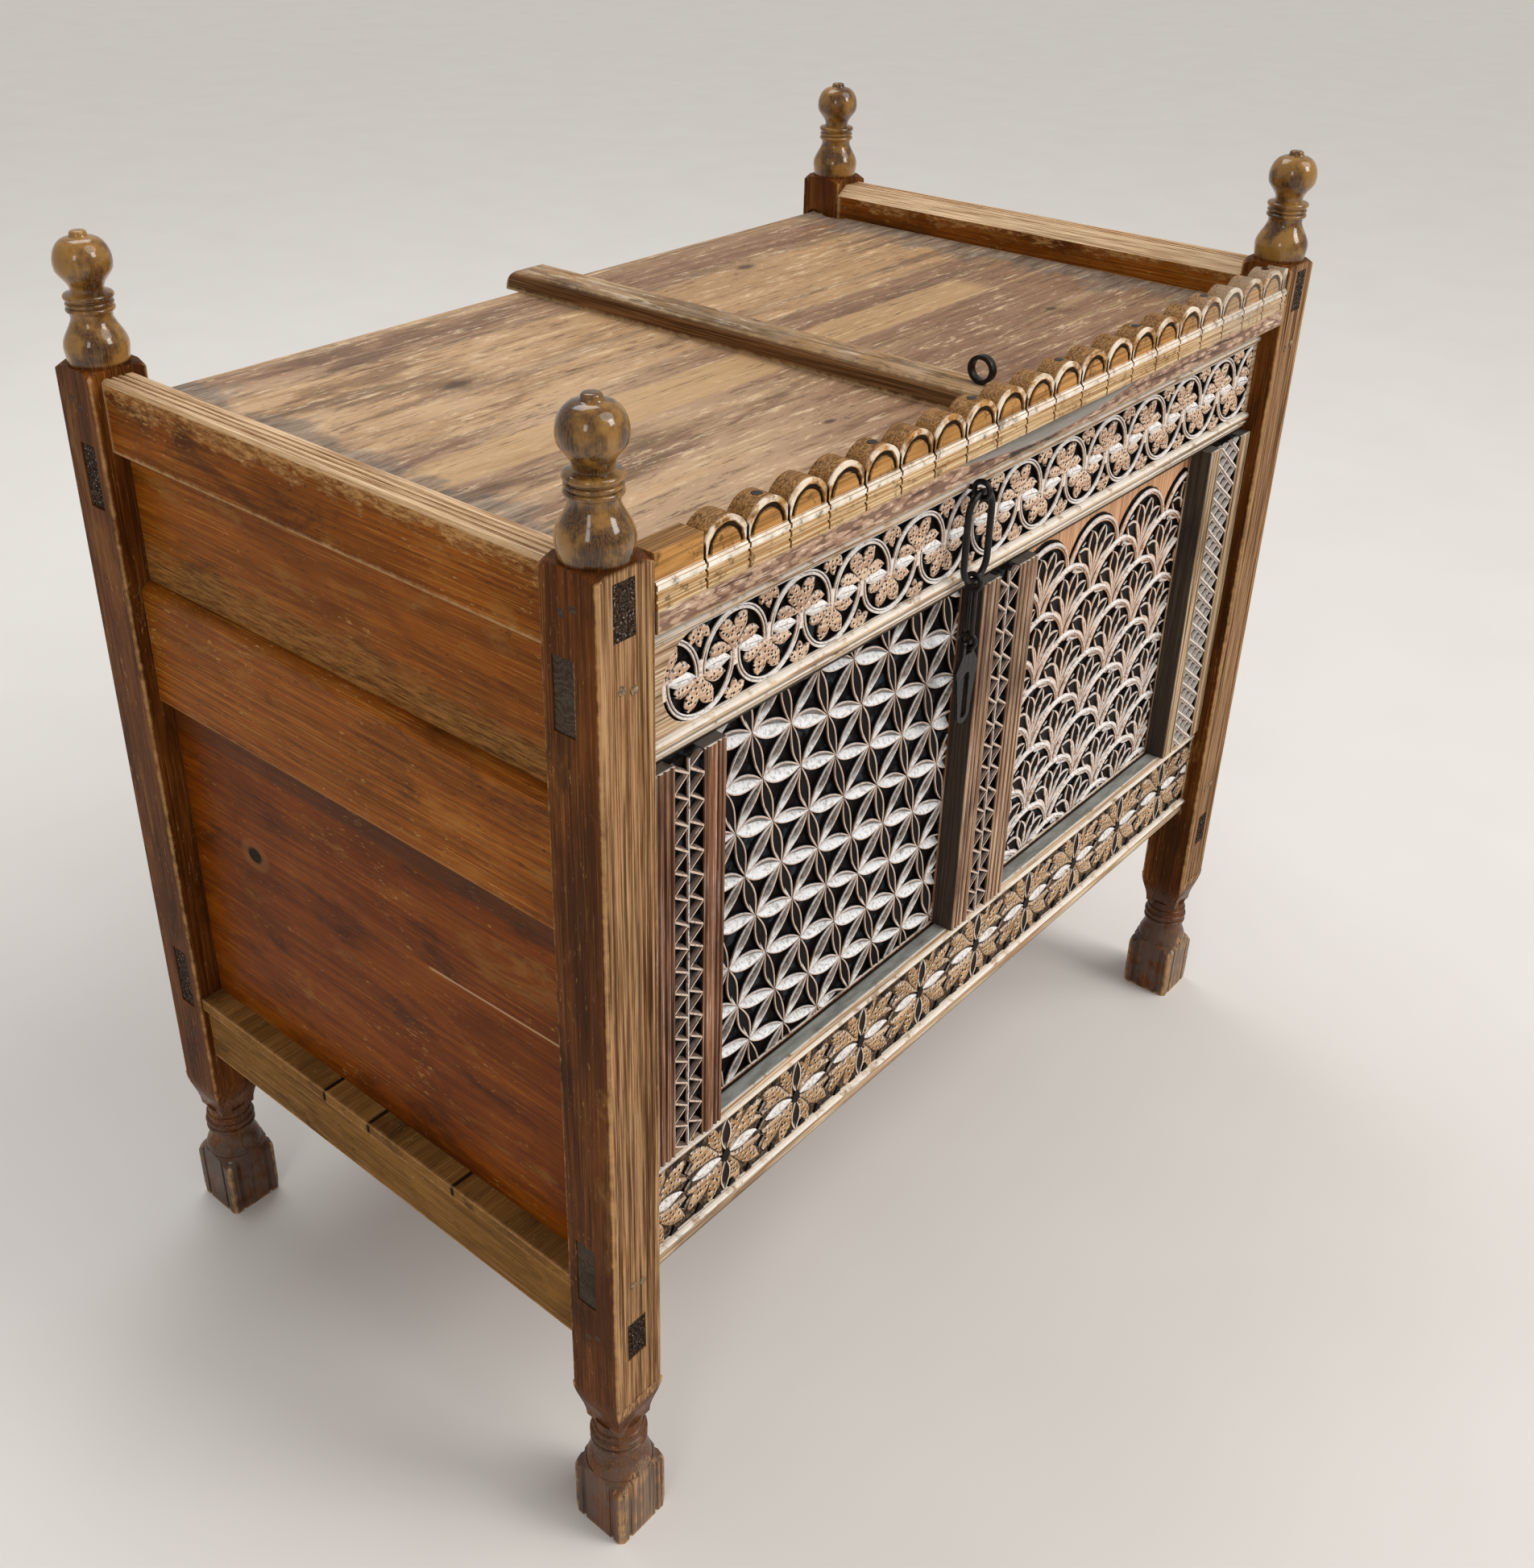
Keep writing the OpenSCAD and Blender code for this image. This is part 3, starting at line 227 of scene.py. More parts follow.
def grain(p, axis, seed, ring, pith=(0, 0, 0), waver=9.0, run=0.012):
    """The rings of a timber's grain along an axis. p keeps its fibres and blotches. All go from 0 to 1."""
    shift = (seed * 37.1 % 500, seed * 91.7 % 500, seed * 53.3 % 500)
    bend = p.streaks([v * 0.03 for v in lying(axis, 1.0, 0.045)], 2.0, 0.5, shift=shift)
    d = [p.minus(v, middle) for v, middle, name in zip((p.x, p.y, p.z), pith, "XYZ") if name != axis]
    r = p.plus(p.reach(*d), p.times(bend, waver * 6.0))
    p.fibres = p.streaks([v * 0.8 for v in lying(axis, 1.0, run)], 6.0, 0.72, shift=shift)
    p.blotch = p.streaks(lying(axis, 0.012, 0.004), 5.0, 0.62, 0.5, shift)
    return p.waves(r, 6.2832 / ring)


def edge_distance(p, low, high):
    """Distance from a point on a box's surface to the nearest arris: the middle one of three."""
    d = [p.absolute(p.math("MINIMUM", p.minus(v, a), p.minus(b, v)))
         for v, a, b in zip((p.x, p.y, p.z), low, high)]
    small = p.math("MINIMUM", d[0], d[1])
    large = p.math("MAXIMUM", d[0], d[1])
    return p.math("MAXIMUM", small, p.math("MINIMUM", large, d[2]))


def timber(name, axis, tones, seed, rough=(0.42, 0.62), ring=7.0, pith=(0, 0, 0), waver=9.0, run=0.012,
           edges=None, edge_tone="#b98d5c", edge_width=3.5, dust=0.0, coarse=1.0, sheen=0.06,
           rings_show=0.7, scuffs=0.0, extra=None):
    """Old oiled timber: rings, fibres, blotches, scuffs, dents, worn arrises and dust on what faces up."""
    p = Paint(name, sheen)
    dark, mid, light = tones
    rings = grain(p, axis, seed, ring, pith, waver, run)
    p.colour = p.mix(p.times(p.step(rings, 0.2, 0.95), rings_show), mid, dark)
    p.stain(p.fibres, 0.5, 0.68, light, 0.8)
    p.stain(p.fibres, 0.48, 0.3, dark, 0.85)
    p.stain(p.blotch, 0.42, 0.68, dark, 0.55)
    p.stain(p.blotch, 0.46, 0.28, light, 0.4)
    p.height = p.plus(p.times(p.fibres, 0.5 * coarse), p.times(rings, 0.1))
    p.gloss = p.times_plus(p.blotch, rough[1] - rough[0], rough[0])
    if scuffs:
        stain = p.streaks(lying(axis, 0.019, 0.006), 6.0, 0.68, 0.5, (seed * 13.7, 0, 5))
        p.stain(stain, 0.52, 0.68, "#2a190c", 0.6)
        p.stain(stain, 0.43, 0.33, "#9a6d33", 0.45)
        flake = p.streaks(lying(axis, 0.34, 0.07), 5.0, 0.75, 0.0, (0, seed * 7.9, 3), (0.12, 0.0, 0.1))
        flake = p.plus(flake, p.times(p.minus(p.noise(0.012, 2.0), 0.5), 0.25))
        bare = p.times(p.step(flake, 0.63, 0.67), scuffs)
        p.tint("#c2975a", bare)
        p.tint("#23140a", p.times(p.step(flake, 0.37, 0.32), scuffs))
        p.height = p.times_plus(bare, -0.8, p.height)
    if extra:
        extra(p)
    if edges:
        near = edge_distance(p, *edges)
        chips = p.noise(0.09, 3.0, 0.6)
        near = p.plus(near, p.times(chips, edge_width * 1.6))
        worn = p.step(near, edge_width * 1.75, edge_width * 0.7)
        p.tint(edge_tone, worn, 0.75)
        p.height = p.minus(p.height, p.times(worn, p.noise(0.35, 3.0, 0.6)))
    if dust:
        lit = p.times(p.step(p.facing()[2], 0.25, 0.9), p.step(p.noise(0.03, 4.0), 0.3, 0.7))
        p.tint("#b9b2a6", p.times(lit, dust))
    dents = p.bump(p.noise(0.045, 2.0, 0.5), 1.6, 0.35)
    return p.finish(p.gloss, p.bump(p.height, 0.5, 0.55 * coarse, dents))


def outside_arches(p, x, z, pitch, drop, fall):
    """1 on the plain wood above a row of arches and between them, outside a dark line round each arch."""
    over = p.minus(p.z, p.times_plus(p.minus(p.x, x), -fall, z))
    reach = []
    for shift, low in ((0.0, 0.0), (0.5, drop)):
        u = p.math("MODULO", p.plus(p.x, (20.5 + shift) * pitch - x), pitch)
        reach.append(p.reach(p.minus(u, pitch / 2), p.plus(over, low)))
    near = p.math("MINIMUM", *reach)
    near = p.times_plus(p.noise(0.08, 2.0), 2.5, near)
    return p.times(p.step(near, FAN_R + 3.4, FAN_R + 4.6), p.step(over, -12.0, -6.0))


def front_wood(name, axis, tones, seed, sheen):
    """The front's wood before it is worn: rings in its two lighter tones."""
    p = Paint(name, sheen)
    p.colour = p.two_tone(grain(p, axis, seed, 6.0), 0.1, 0.9, *tones[1:])
    return p


def moulded_timber(name, axis, tones, seed, face_y, field, ledge="#848b88", quirk="#160c07", arches=None):
    """A piece of the front: mouldings painted pale where they face up (painted highlight and wear), painted
    shade on what faces down and in the quirks, which also hold dirt, and a carved field whose ground is
    painted near-black as shade and dirt, with painted light on its facets.
    """
    p = front_wood(name, axis, tones, seed, 0.1)
    dark, pale = tones[0], "#f3ece1"
    p.stain(p.fibres, 0.5, 0.38, dark, 0.9)
    p.stain(p.fibres, 0.56, 0.66, pale, 0.7)
    p.stain(p.blotch, 0.47, 0.66, dark, 0.6)
    _, ny, nz = p.facing()
    sunk = p.minus(p.y, face_y)
    wander = p.noise(0.05, 4.0, 0.65)
    # Pale where it faces up: a painted highlight, partly wear
    worn = p.times(p.step(nz, 0.15, 0.5), p.step(wander, 0.32, 0.5))
    p.tint(pale, worn, 0.92)
    # Painted shade on what faces down
    p.stain(nz, -0.25, -0.7, quirk, 0.75)
    # The quirks darkened: dirt and painted shade
    deep = p.times(p.step(sunk, 0.5, 1.7), p.step(nz, 0.55, 0.2))
    p.tint(quirk, deep, 0.9)
    shelf = p.times(p.step(sunk, 1.0, 3.0), p.step(nz, 0.75, 0.95))
    soil = p.step(p.streaks((0.02, 0.09, 0.09), 5.0, 0.7), 0.38, 0.62)
    p.tint(p.mix(soil, p.mix(0.5, quirk, ledge), ledge), shelf, 0.9)
    p.tint(quirk, p.times(shelf, p.step(sunk, 14.0, 16.5)))
    x0, x1, z0, z1 = field
    hole = p.times(p.band(p.x, x0, x1, 0.5), p.band(p.z, z0, z1, 0.5), p.step(sunk, 1.0, 3.0))
    if arches:
        plain = p.times(outside_arches(p, *arches), hole)
        p.tint(p.two_tone(p.fibres, 0.36, 0.6, "#a06e4c", "#e0b088"), plain)
        hole = p.minus(hole, plain)
    # The carved field's ground: painted near-black as shade and dirt, with a bluish painted light on the
    # facets of its pits
    painted_lit_facets = p.step(p.noise(0.07, 3.0, 0.6), 0.52, 0.62)
    p.tint(p.mix(p.times(painted_lit_facets, 0.75), "#0e0907", "#303a41"), hole)
    # The face that looks into the chest is plain old wood
    inner = p.mix(p.step(p.times_plus(p.blotch, 0.6, p.fibres), 0.6, 1.0), "#84532f", "#4a2b17")
    p.stain(ny, 0.3, 0.6, inner)
    p.height = p.plus(p.times(p.fibres, 0.6), p.times(p.noise(0.3, 4.0, 0.6), 0.6))
    p.gloss = p.times_plus(p.blotch, 0.2, 0.48)
    normal = p.bump(p.noise(0.09, 2.0), 1.2, 0.4)
    return p.finish(p.gloss, p.bump(p.height, 0.5, 0.6, normal))


def carved_work(name, axis, tones, seed, rim, lit_from, lit_tone="#f3f2f1", hollow="#1d120c",
                pit="#0e0907", crest_wear=0.75, dots=0.0, pale_below=None):
    """Carved work: pale worn crests, hollows darkened with dirt and painted shade, pits painted black as
    shade and dirt, grey painted shade on slopes that face down, and painted light, grey-white, on what
    faces up.
    """
    p = front_wood(name, axis, tones, seed, 0.15)
    dark = tones[0]
    p.stain(p.fibres, 0.5, 0.3, dark, 0.7)
    p.stain(p.blotch, 0.45, 0.7, dark, 0.6)
    cut = p.attribute("cut")
    nx, _, nz = p.facing()
    wander = p.noise(0.06, 4.0, 0.65)
    fleck = p.noise(0.28, 3.0, 0.6)
    # Painted light: what faces up, and a little to the right, is painted grey-white as a highlight
    lit = p.times(p.step(p.times_plus(nx, 0.15, nz), *lit_from), p.step(wander, 0.25, 0.45))
    crest = p.step(p.absolute(cut), 0.12, 0.0)
    if dots:
        # Punched dots: a dark hole, painted shade and dirt in the pit, beside a pale painted glint
        punched = p.attribute("stipple")
        hole = p.times(p.step(p.dots(dots), 0.26, 0.18), punched)
        painted_glint = p.times(p.step(p.dots(dots, (-1.3, 1.5)), 0.24, 0.15), punched)
        p.tint("#f4e3cd", painted_glint, 0.75)
        p.tint(hollow, hole)
        crest = p.times(crest, p.minus(1.0, punched))
        lit = p.times(lit, p.times_plus(punched, -0.8, 1.0))
    crest = p.times(crest, p.step(fleck, 0.3, 0.48))
    p.tint(rim, p.times(crest, crest_wear))
    if pale_below:
        rubbed = p.times(p.step(p.z, *pale_below), p.step(fleck, 0.4, 0.6))
        p.tint("#ecebe9", rubbed, 0.7)
    smooth = p.times(p.band(cut, -0.3, -0.2, 0.06),
                     p.times(p.step(wander, 0.2, 0.4), p.step(fleck, 0.3, 0.5)))
    p.tint("#e4e2e0", smooth, 0.9)
    # Painted shade: grey on the slopes that face down
    p.tint("#8d8986", p.band(cut, -0.55, -0.4, 0.05), 0.85)
    # Hollows darkened with dirt and with painted shade, which is painted lighter where the painted light
    # falls
    dirt_and_shade = p.plus(p.times(cut, -1.0), p.times_plus(fleck, 0.5, -0.25))
    dirt_and_shade = p.times(p.step(dirt_and_shade, 0.3, 0.7), p.times_plus(lit, -0.8, 1.0))
    p.tint(hollow, dirt_and_shade)
    painted_light_tone = p.mix(p.step(fleck, 0.34, 0.52), p.mix(0.55, lit_tone, "#77706a"), lit_tone)
    p.tint(painted_light_tone, lit, 0.9)
    # Painted black at the foot of each outer wall: painted shade and dirt in the pits
    p.stain(cut, 0.12, 0.36, pit)
    p.height = p.times_plus(p.fibres, 0.6, p.times(fleck, 0.5))
    if dots:
        p.height = p.minus(p.height, p.times(hole, 2.0))
    p.gloss = p.times_plus(p.blotch, 0.22, 0.45)
    normal = p.bump(p.noise(0.13, 2.0), 1.0, 0.5)
    return p.finish(p.gloss, p.bump(p.height, 0.5, 0.6, normal))


def end_grain(name, tones=("#17100c", "#33241a", "#5a4636")):
    """The weathered ends of tenons and pegs: dark, open and rough."""
    p = Paint(name)
    dark, mid, light = tones
    rough = p.noise(0.5, 5.0, 0.7)
    p.colour = p.two_tone(rough, 0.35, 0.65, dark, mid)
    p.stain(rough, 0.58, 0.68, light, 0.9)
    pores = p.times(p.cells(p.mm, 0.45), 0.5)
    return p.finish(0.8, p.bump(p.plus(rough, pores), 1.6, 0.9))


def forged_iron(name, seed, metal=0.35, shine=0.4):
    """Hand-forged iron: near-black scale with a low sheen, hammer dents and a little brown rust."""
    p = Paint(name, shine)
    rust = p.streaks([0.06] * 3, 5.0, 0.65, shift=(seed, 0, 0))
    dents = p.noise(0.22, 2.0, 0.5)
    p.colour = p.two_tone(rust, 0.5, 0.72, "#141211", "#2e1c13")
    p.stain(dents, 0.58, 0.78, "#45413d", 0.3)
    p.bsdf["Metallic"].default_value = metal
    normal = p.bump(p.noise(1.1, 3.0), 0.15, 0.4, p.bump(dents, 0.9, 0.6))
    return p.finish(p.times_plus(rust, 0.3, 0.22), normal)


# The front's measures, in millimetres
PANEL_FACE, TOP_FACE, BOTTOM_FACE, STILE_FACE = -301.0, -315.0, -319.0, -325.0
VINE_FIELD = (-478.0, 501.0, 841.7, 920.7)
ROSETTE_FIELD = (-505.0, 505.0, 319.0, 406.5)
STILE_LOW, STILE_HIGH = 421.0, 818.7
PANEL_RIM = 8.4
# Each stile's sunk strip: its middle and width
STRIPS = (("left", -457.5, 35.0), ("centre", -3.5, 35.0), ("right", 460.0, 50.0))
# The lattice: the distance between its flowers, one flower's centre and the lean of its rows
LATTICE = 52.6
LATTICE_CENTRE = (-338.0, PANEL_FACE, 734.0)
LATTICE_LEAN = math.radians(-13.0)
FAN_R = 52.0
# The palmettes' arches: one centre of the top row (x, z), the pitch, the drop from row to row and the
# row's fall to the right
FAN_ROWS = (215.0, 745.4, 103.4, 40.3, 0.0193)
# The vine and the rosettes: the pitch, the first one's x and the middle line's z
VINE_STEP, VINE_X, VINE_Z = 82.0, -434.5, 881.2
ROSETTE_STEP, ROSETTE_X, ROSETTE_Z = 103.8, -399.1, 362.8
# The cresting's arches: where the first begins, their pitch, their centres' z and their grooves' radius
SCALLOP_X, SCALLOP_PITCH, SCALLOP_Z, SCALLOP_GROOVE = -455.0, 47.6, 987.8, 18.2

# The other pieces' measures, in millimetres
POST_WIDTH, BLIND_TENON, PIN_LENGTH = 58.0, 24.0, 16.0
POST_FRONT, SHOULDER_Z, SHAFT_BOTTOM_Z = -339.0, 1010.0, 183.0
SIDE_RAIL_TOP_Z = 1003.0
TENON_END, TENON_END_SIDE = 565.5, 337.5
FLOOR_BOARDS = ("floor_board_front", "floor_board_second", "floor_board_third", "floor_board_rear")
FLOOR_SET_IN = 20.0
# The lid: half its length, its front edge and the worn finger hollow
LID_HALF, LID_FRONT = 515.0, -338.5
HOLLOW = (-135.0, 185.0)
# Along the lid: its left part, painted paler as a reflection of the sky, the dark lip under the hollow and
# the cresting's grey end
REFLECTION_X, LIP_X, GREY_END_X = (80.0, -300.0), (-48.0, 30.0), (240.0, 420.0)
# The lid's sapwood stripe (x and y) and its knots: x, y and radius
SAPWOOD = ((-470.0, 335.0), (-48.0, 6.0))
KNOTS = ((-280.0, 130.0, 15.0), (232.0, 205.0, 12.0), (-120.0, -190.0, 7.0), (330.0, -150.0, 8.0))
# The left lower panel's greyer upper band, its knot (y, z) and its long scratch (y and z)
SIDE_BAND_Z = (641.0, 648.0)
SIDE_KNOT = (173.0, 540.0)
SIDE_SCRATCH = ((-262.0, -92.0), (538.5, 540.0))


def inner_field(node, inset):
    """The sunk field of a panel, inside its rim."""
    lo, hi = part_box(node)
    edge = PANEL_RIM + inset
    return (lo[0] * 1000 + edge, hi[0] * 1000 - edge, lo[2] * 1000 + edge, hi[2] * 1000 - edge)


def strip_field(middle, width):
    """The sunk strip of a stile."""
    return (middle - width / 2, middle + width / 2, STILE_LOW, STILE_HIGH)


# Finishes of the pieces
def node_box(name, trim=(0, 0, 0)):
    """A node's corners in millimetres, drawn in by trim where its tenons stand out."""
    lo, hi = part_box(name)
    return [v * 1000 + t for v, t in zip(lo, trim)], [v * 1000 - t for v, t in zip(hi, trim)]


def tenon_ends(p):
    """Rough dark end grain where a rail's tenons come through the posts."""
    out = p.math("MAXIMUM", p.step(p.absolute(p.x), TENON_END, TENON_END + 0.3),
                 p.step(p.absolute(p.y), TENON_END_SIDE, TENON_END_SIDE + 0.3))
    rough = p.noise(0.4, 5.0, 0.75)
    end = p.two_tone(rough, 0.4, 0.62, "#120d0a", "#4a392c")
    end = p.mix(p.step(p.noise(0.5, 4.0, 0.7), 0.58, 0.66), end, "#cfc6bb")
    p.tint(end, out)
    p.height = p.times_plus(p.times(out, rough), 5.0, p.height)
    p.gloss = p.times_plus(out, 0.3, p.gloss)


def lid_patina(p):
    """The lid's sapwood stripe, stains, knots, scratches, grey ends, a left part painted paler as a
    reflection of the sky, and a chipped finger hollow painted grey for wear and as painted shade.
    """
    bands = p.streaks((0.0009, 0.016, 0.016), 3.0, 0.6, shift=(3.1, 7.7, 0))
    p.stain(bands, 0.5, 0.55, "#805a44", 0.55)
    p.stain(bands, 0.49, 0.42, "#c2986a", 0.5)
    stain = p.streaks((0.0025, 0.011, 0.011), 6.0, 0.68, 0.5, shift=(3.1, 7.7, 0))
    p.stain(stain, 0.54, 0.64, "#5f4632", 0.5)
    # Painted reflection: the left part of the lid is painted paler, as the sky's sheen on it
    sky_reflection = p.times(p.step(p.x, *REFLECTION_X), p.step(stain, 0.62, 0.46))
    p.tint("#d6b590", sky_reflection, 0.5)
    flakes = p.streaks((0.02, 0.13, 0.13), 8.0, 0.78, 0.3, shift=(9, 2, 0))
    p.stain(flakes, 0.55, 0.61, "#dfc5a2", 0.6)
    p.stain(flakes, 0.45, 0.39, "#5a3e28", 0.65)
    y = p.plus(p.y, p.times(p.streaks((0.006, 0.02, 0.02), 3.0), 22.0))
    stripe = p.times(p.band(y, *SAPWOOD[1], 5.0), p.band(p.x, *SAPWOOD[0], 40.0))
    p.tint("#c19c6c", stripe, 0.6)
    for kx, ky, r in KNOTS:
        d = p.reach(p.times(p.minus(p.x, kx), 0.55), p.minus(p.y, ky))
        d = p.plus(d, p.times(p.fibres, r * 0.8))
        around = p.times(p.step(d, r * 3.2, r * 1.2), p.waves(d, 1.9))
        p.tint("#54392a", around, 0.35)
        p.tint("#3d2718", p.step(d, r * 1.3, r * 0.7), 0.8)
    inward = p.times_plus(p.noise(0.018, 4.0, 0.65), -170.0, p.minus(LID_HALF, p.absolute(p.x)))
    p.tint(p.two_tone(flakes, 0.4, 0.6, "#51483f", "#81766a"), p.step(inward, 0.0, -38.0), 0.7)
    crack = p.streaks((0.0035, 0.16, 0.16), 3.0, 0.55, shift=(11, 5, 0))
    broken = p.step(p.streaks((0.006, 0.02, 0.02), 2.0, shift=(5, 0, 0)), 0.47, 0.58)
    crack = p.times(p.band(crack, 0.497, 0.503, 0.006), broken)
    p.tint("#33210f", crack, 0.75)
    for turn, shift in ((0.35, 20.0), (-0.6, 75.0), (1.2, 140.0)):
        scratch = p.streaks((0.006, 0.35, 0.35), 2.0, 0.5, shift=(shift, 10, 0), turn=(0, 0, turn))
        line = p.times(p.step(scratch, 0.7, 0.73), p.step(stain, 0.4, 0.6))
        p.tint("#d2bb9b", line, 0.4)
    # Front edge: rough and brown. Where the hollow is worn down to it, its slope is painted grey, for the
    # wear and as painted shade
    front = p.step(p.y, LID_FRONT + 1.5, LID_FRONT + 0.3)
    rough = p.streaks((0.05, 0.3, 0.3), 5.0, 0.7)
    p.tint(p.two_tone(rough, 0.4, 0.6, "#8f6a54", "#c6a38a"), front, 0.9)
    chip = p.cells(p.stretch((0.07, 0.2, 0.2)), 1.0)
    p.tint("#6b4a3a", p.times(front, p.times(p.step(chip, 0.5, 0.62), 0.8)))
    p.tint("#e6d5c6", p.times(front, p.times(p.step(chip, 0.24, 0.14), 0.6)))
    split = p.streaks((0.012, 0.22, 0.22), 5.0, 0.65, shift=(0, 0, 6))
    p.tint("#432a18", p.times(front, p.step(split, 0.44, 0.36)))
    p.tint("#e4cfb3", p.times(front, p.step(split, 0.58, 0.68)))
    hollow = p.times(p.band(p.x, *HOLLOW, 14.0), p.step(p.y, LID_FRONT + 20.5, LID_FRONT + 14.5))
    # The hollow's slope: grey for wear, and painted shade
    slope = p.times(hollow, p.step(p.y, LID_FRONT + 0.9, LID_FRONT + 1.9))
    p.tint("#8a8a86", slope, 0.85)
    lip = p.times(front, p.band(p.x, *LIP_X, 8.0), p.step(rough, 0.3, 0.5))
    p.tint("#2c241c", lip)
    p.height = p.times_plus(p.times(front, rough), 2.2, p.height)
    p.height = p.minus(p.height, p.times(crack, 1.2))
    p.height = p.times_plus(flakes, 1.2, p.height)


def batten_sides(p):
    """The batten's marks: painted shade that darkens its sides, and a top that is chipped along the grain.
    """
    nx, _, nz = p.facing()
    # Painted shade: the sides are darker because of their facing
    side = p.step(p.absolute(nx), 0.5, 0.9)
    p.tint(p.two_tone(p.fibres, 0.4, 0.6, "#442812", "#7d5430"), side, 0.8)
    chips = p.streaks((0.12, 0.02, 0.12), 6.0, 0.7, shift=(4, 0, 0))
    top = p.step(nz, 0.5, 0.9)
    p.tint("#4a3120", p.times(top, p.step(chips, 0.45, 0.36)), 0.75)
    p.tint("#d6c2ab", p.times(top, p.step(chips, 0.54, 0.64)), 0.6)
    p.height = p.plus(p.height, chips)


def upper_board_marks(p):
    """The upper side panel's dry, pitted, yellow band above the middle rail."""
    edge = node_box("left_mid_rail")[1][2]
    wander = p.times(p.streaks((0.02, 0.012, 0.06), 6.0, 0.7), 70.0)
    dry = p.step(p.plus(p.z, wander), edge + 84.0, edge + 58.0)
    pits = p.streaks((0.3, 0.035, 0.42), 8.0, 0.78, shift=(2, 8, 1))
    p.tint(p.two_tone(pits, 0.38, 0.62, "#402a14", "#a87d48"), dry, 0.6)
    p.height = p.times_plus(p.times(dry, pits), 1.6, p.height)
    p.gloss = p.times_plus(dry, 0.2, p.gloss)


def side_board_marks(p):
    """The lower side panel's greyer upper band, its knot and the long scratch near the front."""
    p.stain(p.z, *SIDE_BAND_Z, "#45301f", 0.45)
    d = p.reach(p.times(p.minus(p.y, SIDE_KNOT[0]), 0.8), p.minus(p.z, SIDE_KNOT[1]))
    p.tint("#9a6a35", p.band(d, 10.0, 16.0, 4.0), 0.28)
    p.stain(d, 11.0, 6.0, "#160c07")
    p.height = p.minus(p.height, p.times(p.step(d, 9.0, 5.0), 3.0))
    rise = p.times_plus(p.y, 0.03, p.times_plus(p.fibres, 3.0, p.z))
    scratch = p.times(p.band(p.y, *SIDE_SCRATCH[0], 8.0), p.band(rise, *SIDE_SCRATCH[1], 0.8))
    p.tint("#c9a27a", scratch, 0.7)


def paint(node, mat, bevel):
    """Gives a CAD node its finish, with its arrises eased."""
    obj = NODES[node]
    obj.data.materials.clear()
    obj.data.materials.append(mat)
    if bevel:
        weld = obj.modifiers.new("weld", "WELD")
        weld.merge_threshold = 0.00002
        ease = obj.modifiers.new("eased_arrises", "BEVEL")
        ease.width = bevel * MM
        ease.segments = 2
        ease.limit_method = "ANGLE"
        ease.angle_limit = math.radians(40)
        ease.harden_normals = True
        ease.use_clamp_overlap = True


POST_TONES = ("#2f1606", "#683813", "#99652f")
SIDE_TONES = ("#552a09", "#945010", "#c08438")
PANEL_TONES = ("#451c06", "#7c3b07", "#a35f1a")
STILE_TONES = (("#3e2213", "#84573c", "#a97b5e"), ("#4c3020", "#a07b60", "#c7a687"),
               ("#4f3826", "#a18263", "#cbb08c"))
MOULDING_TONES = ("#65492e", "#b59270", "#dcc3a2")
LID_TONES = ("#6f5239", "#997b5b", "#b9986f")
BATTEN_TONES = ("#5d4329", "#9b7a55", "#c4a77f")
CREST_TONES = ("#7e5526", "#c08a4c", "#dcae72")
BOTTOM_TONES = ("#4a3014", "#88602f", "#b08550")
FLOOR_TONES = ("#50351a", "#8d6332", "#b88d4e")


def post_marks_and_lit_front(p):
    """A post's marks: a front painted pale as painted light, between dark streaks, a polished finial whose
    golden patches are partly painted highlight, and a greyed foot.
    """
    # Painted light: the front face is painted paler, as the light that falls on it
    front = p.times(p.step(p.y, POST_FRONT + 3.0, POST_FRONT + 0.4),
                    p.step(p.z, SHOULDER_Z + 1.0, SHOULDER_Z - 4.0))
    p.tint(p.two_tone(p.fibres, 0.38, 0.62, "#6d4728", "#cda478"), front, 0.8)
    streak = p.streaks((0.22, 0.22, 0.004), 4.0, 0.65, shift=(40, 0, 9))
    p.tint("#3f2411", p.times(front, p.times(p.step(streak, 0.5, 0.62), 0.85)))
    p.gloss = p.times_plus(front, 0.15, p.gloss)
    above = p.step(p.z, SHOULDER_Z + 1.0, SHOULDER_Z + 4.0)
    # The finial's golden patches: its own golden tone, partly a painted highlight
    finial = p.times(above, p.step(p.noise(0.04, 4.0), 0.38, 0.6))
    p.tint(p.two_tone(p.fibres, 0.35, 0.65, "#1e1004", "#6a4a20"), above, 0.75)
    p.tint("#a97c38", finial, 0.68)
    p.gloss = p.times_plus(above, -0.12, p.gloss)
    p.height = p.times_plus(p.times(above, p.noise(0.11, 3.0, 0.6)), 2.6, p.height)
    foot = p.times(p.step(p.z, SHAFT_BOTTOM_Z - 18.0, SHAFT_BOTTOM_Z - 93.0),
                   p.step(p.noise(0.05, 4.0), 0.32, 0.58))
    p.tint("#5b5048", foot, 0.6)
    turned = p.step(p.z, SHAFT_BOTTOM_Z - 15.0, SHAFT_BOTTOM_Z - 33.0)
    polish = p.math("MAXIMUM", above, p.times(turned, 0.35))
    put(p.nt, p.bsdf["Coat Weight"], polish)
    p.bsdf["Coat Roughness"].default_value = 0.1


